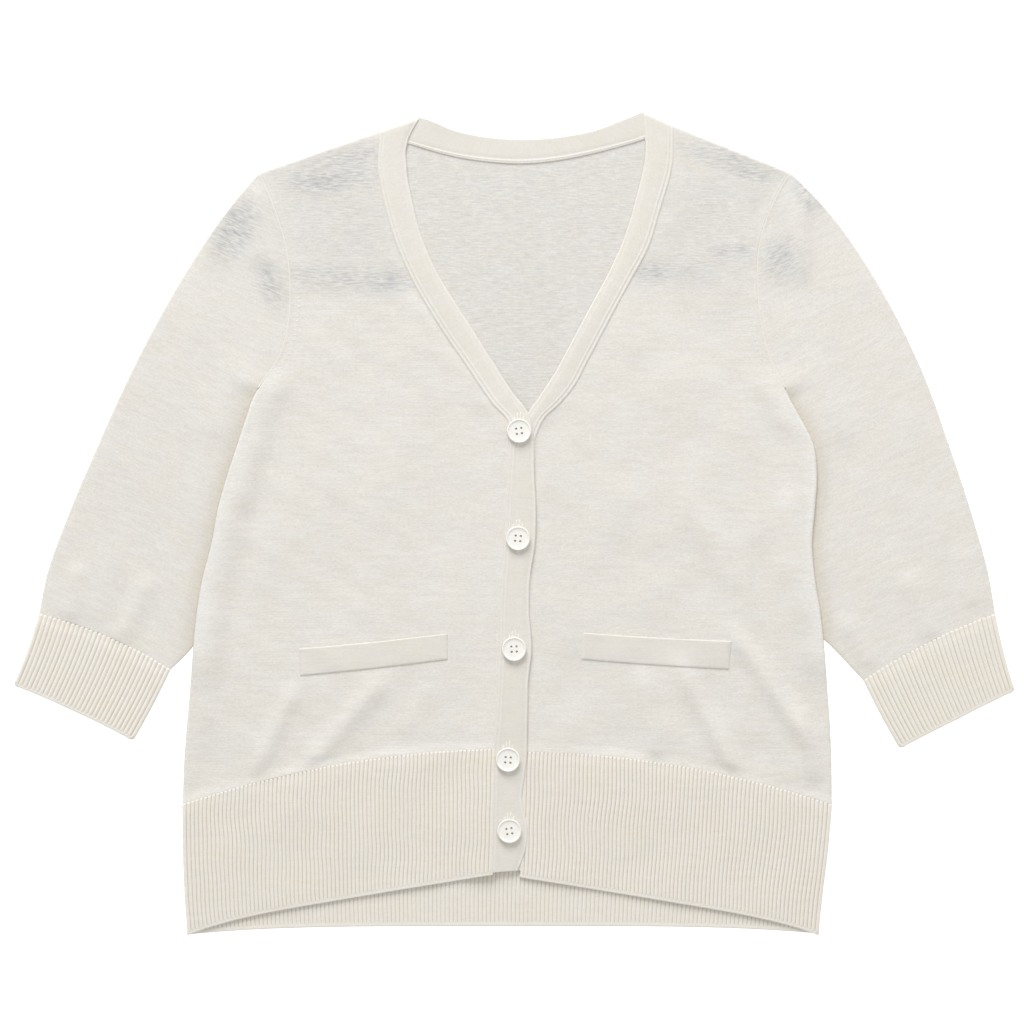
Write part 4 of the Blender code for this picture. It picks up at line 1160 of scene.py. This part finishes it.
def make_armhole_seam(name, side, material):
    """The raised line where a sleeve is linked to the body, from the shoulder to the underarm."""
    heights = np.linspace(UNDERARM_Y - 3.0, BODY[-1].y - 1.0, 160)
    x = side * (side_at(heights, side) + SEAM_GAP / 2)
    z = FRONT_TOP + lift(x, heights) - 0.35 - shoulder_drop(x, heights, side, SIDE_ROLL)
    return strands_piece(name, [list(zip(x, heights, z))], 0.6, material)


def make_fashioning_marks(name, side, material):
    """Small slanted stitches beside the lower armhole, where the knitting was narrowed."""
    strands = []
    for offset, start, end, pitch in ((-6.5, 108.0, 182.0, 3.4), (6.0, 104.0, 168.0, 3.4)):
        y = start
        while y < end:
            x = side * (float(side_at(y, side)) + offset)
            place = np.array([x]), np.array([y])
            fade = float(eased(0.0, 10.0, abs(offset))) if offset < 0 else 0.0
            z = FRONT_TOP + 0.1 + float(lift(*place)[0]) + fade * float(front_folds(*place, side)[0])
            lean = 0.8 * side
            strands.append([(x - lean, y - 0.7, z - 0.45), (x, y, z - 0.28), (x + lean, y + 0.7, z - 0.45)])
            y += pitch
    return strands_piece(name, strands, 0.4, material)


def new_material(name):
    """A material with its shader, and a short way to add nodes to it."""
    material = bpy.data.materials.new(name)
    material.use_nodes = True
    return material, material.node_tree.nodes["Principled BSDF"], Nodes(material)


class Nodes:
    """Short calls that add shader nodes to one material and link them."""

    def __init__(self, material):
        self.tree = material.node_tree

    def add(self, kind, values=None, **settings):
        node = self.tree.nodes.new(kind)
        for key, value in settings.items():
            setattr(node, key, value)
        for key, value in (values or {}).items():
            if isinstance(value, bpy.types.NodeSocket):
                self.tree.links.new(value, node.inputs[key])
            else:
                node.inputs[key].default_value = value
        return node

    def math(self, operation, a, b=0.0, c=0.0):
        node = self.add("ShaderNodeMath", {0: a, 1: b, 2: c}, operation=operation)
        return node.outputs[0]

    def noise(self, place, scale, detail=3.0, roughness=0.5, stretch=(1.0, 1.0, 1.0)):
        mapped = self.add("ShaderNodeMapping", {"Vector": place, "Scale": stretch})
        node = self.add("ShaderNodeTexNoise", {"Vector": mapped.outputs[0], "Scale": scale, "Detail": detail,
                                               "Roughness": roughness})
        return node.outputs["Fac"]

    def tint(self, share, low, high, a, b):
        """A colour from a to b as share goes from low to high."""
        spread = self.add("ShaderNodeMapRange", {"Value": share, "From Min": low, "From Max": high})
        blend = self.add("ShaderNodeMix", {0: spread.outputs[0]}, data_type="RGBA")
        self.socket(blend.inputs[6], a)
        self.socket(blend.inputs[7], b)
        return blend.outputs[2]

    def product(self, colour, other):
        values = {0: 1.0, 6: colour, 7: other}
        mixed = self.add("ShaderNodeMix", values, data_type="RGBA", blend_type="MULTIPLY")
        return mixed.outputs[2]

    def attribute(self, name):
        return self.add("ShaderNodeAttribute", attribute_name=name).outputs

    def link(self, output, target):
        self.tree.links.new(output, target)

    def socket(self, target, value):
        if isinstance(value, bpy.types.NodeSocket):
            self.tree.links.new(value, target)
        else:
            target.default_value = (*value, 1.0) if len(value) == 3 else value


def knit_material(yarn, sheer_shade=False):
    """Knitted cloth: rows of small V stitches as bump, heathered streaks along the courses, soft sheen."""
    material, shader, n = new_material(yarn.name)
    place = n.attribute("knit")["Vector"]
    parts = n.add("ShaderNodeSeparateXYZ", {0: place})
    across = n.math("DIVIDE", parts.outputs["X"], yarn.wale)
    wobble = n.noise(place, 0.35, 2.0)
    across = n.math("ADD", across, n.math("MULTIPLY", wobble, 0.6))
    leg = n.math("ABSOLUTE", n.math("SUBTRACT", n.math("FRACT", across), 0.5))
    rise = n.math("DIVIDE", parts.outputs["Y"], yarn.course)
    rise = n.math("ADD", rise, n.math("MULTIPLY", leg, 1.4))
    loops = n.math("SINE", n.math("MULTIPLY", rise, 2 * math.pi))
    legs = n.math("SINE", n.math("MULTIPLY", leg, 2 * math.pi))
    stitch = n.math("MULTIPLY", legs, n.math("MULTIPLY_ADD", loops, 0.35, 0.65))
    fuzz = n.noise(place, 1.6, 4.0, 0.7)
    height = n.math("ADD", stitch, n.math("MULTIPLY", fuzz, 0.9))
    bump = n.add("ShaderNodeBump", {"Strength": 0.55, "Distance": yarn.bump_depth * MM, "Height": height})

    fine = n.noise(place, 1.0, 3.0, 0.65, (0.26, 1.1, 1.0))
    broad = n.noise(place, 1.0, 3.0, 0.55, (0.06, 0.30, 1.0))
    speck = n.noise(place, 1.0, 2.0, 0.6, (0.55, 0.8, 1.0))
    mixed = n.math("ADD", n.math("MULTIPLY", fine, 0.38), n.math("MULTIPLY", broad, 0.27))
    mixed = n.math("ADD", mixed, n.math("MULTIPLY", speck, 0.35))
    colour = n.tint(mixed, 0.5 - yarn.streak, 0.5 + yarn.streak, yarn.dark, yarn.light)
    hue = n.noise(place, 0.03, 3.0, 0.6, (1.0, 1.6, 1.0))
    warmth = n.tint(hue, 0.35, 0.65, (0.997, 0.993, 0.990), (1.0, 0.985, 0.950))
    colour = n.product(colour, warmth)
    # Painted light and shade: the fronts' thin sides are lightened and the sleeves' hollows beside them
    # darkened warm.
    if sheer_shade:
        painted_light_and_shade = n.attribute("painted_light_and_shade")["Fac"]
        colour = n.product(colour, n.tint(painted_light_and_shade, -1.0, 0.0, RIM_LIGHT_TINT, PLAIN_TINT))
        colour = n.product(colour, n.tint(painted_light_and_shade, 0.0, 1.0, PLAIN_TINT, HOLLOW_SHADE_TINT))
    stitch_shade = n.add("ShaderNodeMapRange", {"Value": stitch, "From Min": 0.0, "From Max": 0.8,
                                                "To Min": 0.93, "To Max": 1.0})
    ridge = n.attribute("ridge")["Fac"]
    # Painted shade: where the relief is low, between ribs and beside seam ridges, the colour is darkened by
    # the groove tint.
    if yarn.groove:
        colour = n.tint(ridge, 0.05, 0.50, n.product(colour, (*yarn.groove, 1.0)), colour)
    # Painted shade: the thin patches are mixed towards grey, as if shade behind the cloth shows through
    # them.
    if sheer_shade:
        sheer_shade_mask = n.attribute("sheer_shade")["Fac"]
        threads = n.noise(place, 1.0, 4.0, 0.65, (0.13, 0.85, 1.0))
        patchy = n.noise(place, 0.07, 3.0, 0.6, (0.5, 1.3, 1.0))
        showing = n.add("ShaderNodeMapRange", {"Value": threads, "From Min": 0.40, "From Max": 0.64,
                                               "To Min": 0.10, "To Max": 0.85})
        cover = n.math("MULTIPLY", sheer_shade_mask, showing.outputs[0])
        cover = n.math("MULTIPLY", cover, n.math("MULTIPLY_ADD", patchy, 1.0, 0.62))
        painted_shade_mix = n.add("ShaderNodeMix", {0: cover, 6: colour, 7: (*SHEER_SHADE_GREY, 1.0)}, data_type="RGBA",
                     clamp_factor=True)
        colour = painted_shade_mix.outputs[2]
    shaded = n.add("ShaderNodeMix", {0: 1.0, 6: colour}, data_type="RGBA", blend_type="MULTIPLY")
    n.link(stitch_shade.outputs[0], shaded.inputs[7])
    n.link(shaded.outputs[2], shader.inputs["Base Color"])
    n.link(bump.outputs[0], shader.inputs["Normal"])
    shader.inputs["Roughness"].default_value = 0.9
    shader.inputs["Specular IOR Level"].default_value = 0.15
    shader.inputs["Sheen Weight"].default_value = yarn.sheen
    shader.inputs["Sheen Roughness"].default_value = 0.5
    return material


def thread_material():
    material, shader, n = new_material("cream_thread")
    place = n.add("ShaderNodeTexCoord").outputs["Object"]
    ply = n.noise(place, 2500.0, 3.0, 0.6, (1.0, 0.4, 1.0))
    colour = n.tint(ply, 0.3, 0.7, (0.80, 0.77, 0.70), (0.92, 0.90, 0.85))
    bump = n.add("ShaderNodeBump", {"Strength": 0.5, "Distance": 0.0001, "Height": ply})
    n.link(colour, shader.inputs["Base Color"])
    n.link(bump.outputs[0], shader.inputs["Normal"])
    shader.inputs["Roughness"].default_value = 0.7
    return material


def button_material():
    """Cream plastic with a faint cloudy grain and a soft gloss."""
    material, shader, n = new_material("cream_button")
    place = n.add("ShaderNodeTexCoord").outputs["Object"]
    cloud = n.noise(place, 180.0, 4.0, 0.55, (1.0, 2.2, 1.0))
    colour = n.tint(cloud, 0.3, 0.7, (0.885, 0.865, 0.81), (0.92, 0.905, 0.862))
    fine = n.noise(place, 1800.0, 2.0)
    bump = n.add("ShaderNodeBump", {"Strength": 0.08, "Distance": 0.0001, "Height": fine})
    rough = n.add("ShaderNodeMapRange", {"Value": cloud, "To Min": 0.32, "To Max": 0.46})
    n.link(colour, shader.inputs["Base Color"])
    n.link(rough.outputs[0], shader.inputs["Roughness"])
    n.link(bump.outputs[0], shader.inputs["Normal"])
    shader.inputs["Subsurface Weight"].default_value = 0.1
    shader.inputs["Subsurface Radius"].default_value = (0.002, 0.0015, 0.001)
    return material


def make_stage():
    """A white floor that gives off its own even light, like a lit table."""
    bm = bmesh.new()
    bmesh.ops.create_grid(bm, x_segments=1, y_segments=1, size=FLOOR_SIZE)
    bmesh.ops.translate(bm, verts=bm.verts, vec=(0.0, 0.0, FLOOR_Z))
    mesh = mesh_of("floor", bm)
    floor = link("floor", mesh)
    material, shader, _ = new_material("white_floor")
    shader.inputs["Base Color"].default_value = (0.9, 0.9, 0.9, 1.0)
    shader.inputs["Roughness"].default_value = 0.9
    shader.inputs["Emission Color"].default_value = (1.0, 1.0, 1.0, 1.0)
    shader.inputs["Emission Strength"].default_value = FLOOR_GLOW
    mesh.materials.append(material)


def make_lights():
    world = bpy.data.worlds.new("studio")
    bpy.context.scene.world = world
    world.use_nodes = True
    background = world.node_tree.nodes["Background"]
    background.inputs["Color"].default_value = (1.0, 1.0, 1.0, 1.0)
    background.inputs["Strength"].default_value = WORLD_STRENGTH
    for lamp in LAMPS:
        data = bpy.data.lights.new(lamp.name, "AREA")
        data.size = lamp.size
        data.energy = lamp.power
        data.color = lamp.colour
        light = link(lamp.name, data)
        light.location = lamp.place
        light.rotation_euler = (-Vector(lamp.place)).to_track_quat("-Z", "Y").to_euler()


def make_camera():
    """Straight above the cardigan, far enough away that it looks flat."""
    data = bpy.data.cameras.new("camera")
    data.lens = LENS
    data.sensor_width = SENSOR
    data.clip_end = 50.0
    camera = link("camera", data)
    distance = VIEW_WIDTH * LENS / SENSOR
    camera.location = Vector((VIEW_CENTRE[0], VIEW_CENTRE[1], distance + FRONT_TOP)) * MM
    bpy.context.scene.camera = camera
    bpy.context.scene.view_settings.view_transform = "Standard"


def main():
    jersey = knit_material(JERSEY_YARN, sheer_shade=True)
    rib = knit_material(RIB_YARN)
    band = knit_material(BAND_YARN)
    thread = thread_material()
    pieces = [
        make_back(jersey),
        *[make_front(f"front_{name}", side, BANDS[side], jersey) for name, side in SIDES.items()],
        make_back_rib(rib),
        *[make_front_rib(f"front_{name}_hem_rib", side, BANDS[side], rib) for name, side in SIDES.items()],
        make_band("buttonhole_band", [*reversed(RIGHT_BAND_HEM), *RIGHT_BAND], -1, band),
        make_band("button_band", [*reversed(LEFT_BAND_HEM), *LEFT_BAND], 1, band),
        make_back_neckband(band),
        *[make_sleeve(f"sleeve_{name}", SLEEVES[side], jersey) for name, side in SIDES.items()],
        *[make_cuff(f"cuff_{name}", SLEEVES[side], rib) for name, side in SIDES.items()],
        *[make_welt(f"pocket_welt_{name}", WELTS[side], band) for name, side in SIDES.items()],
    ]
    make_buttons(button_material(), thread)
    make_buttonholes(thread)
    for name, side in SIDES.items():
        make_armhole_seam(f"armhole_seam_{name}", side, band)
    for name, side in SIDES.items():
        make_fashioning_marks(f"fashioning_marks_{name}", side, jersey)
    make_stage()
    make_lights()
    make_camera()


main()
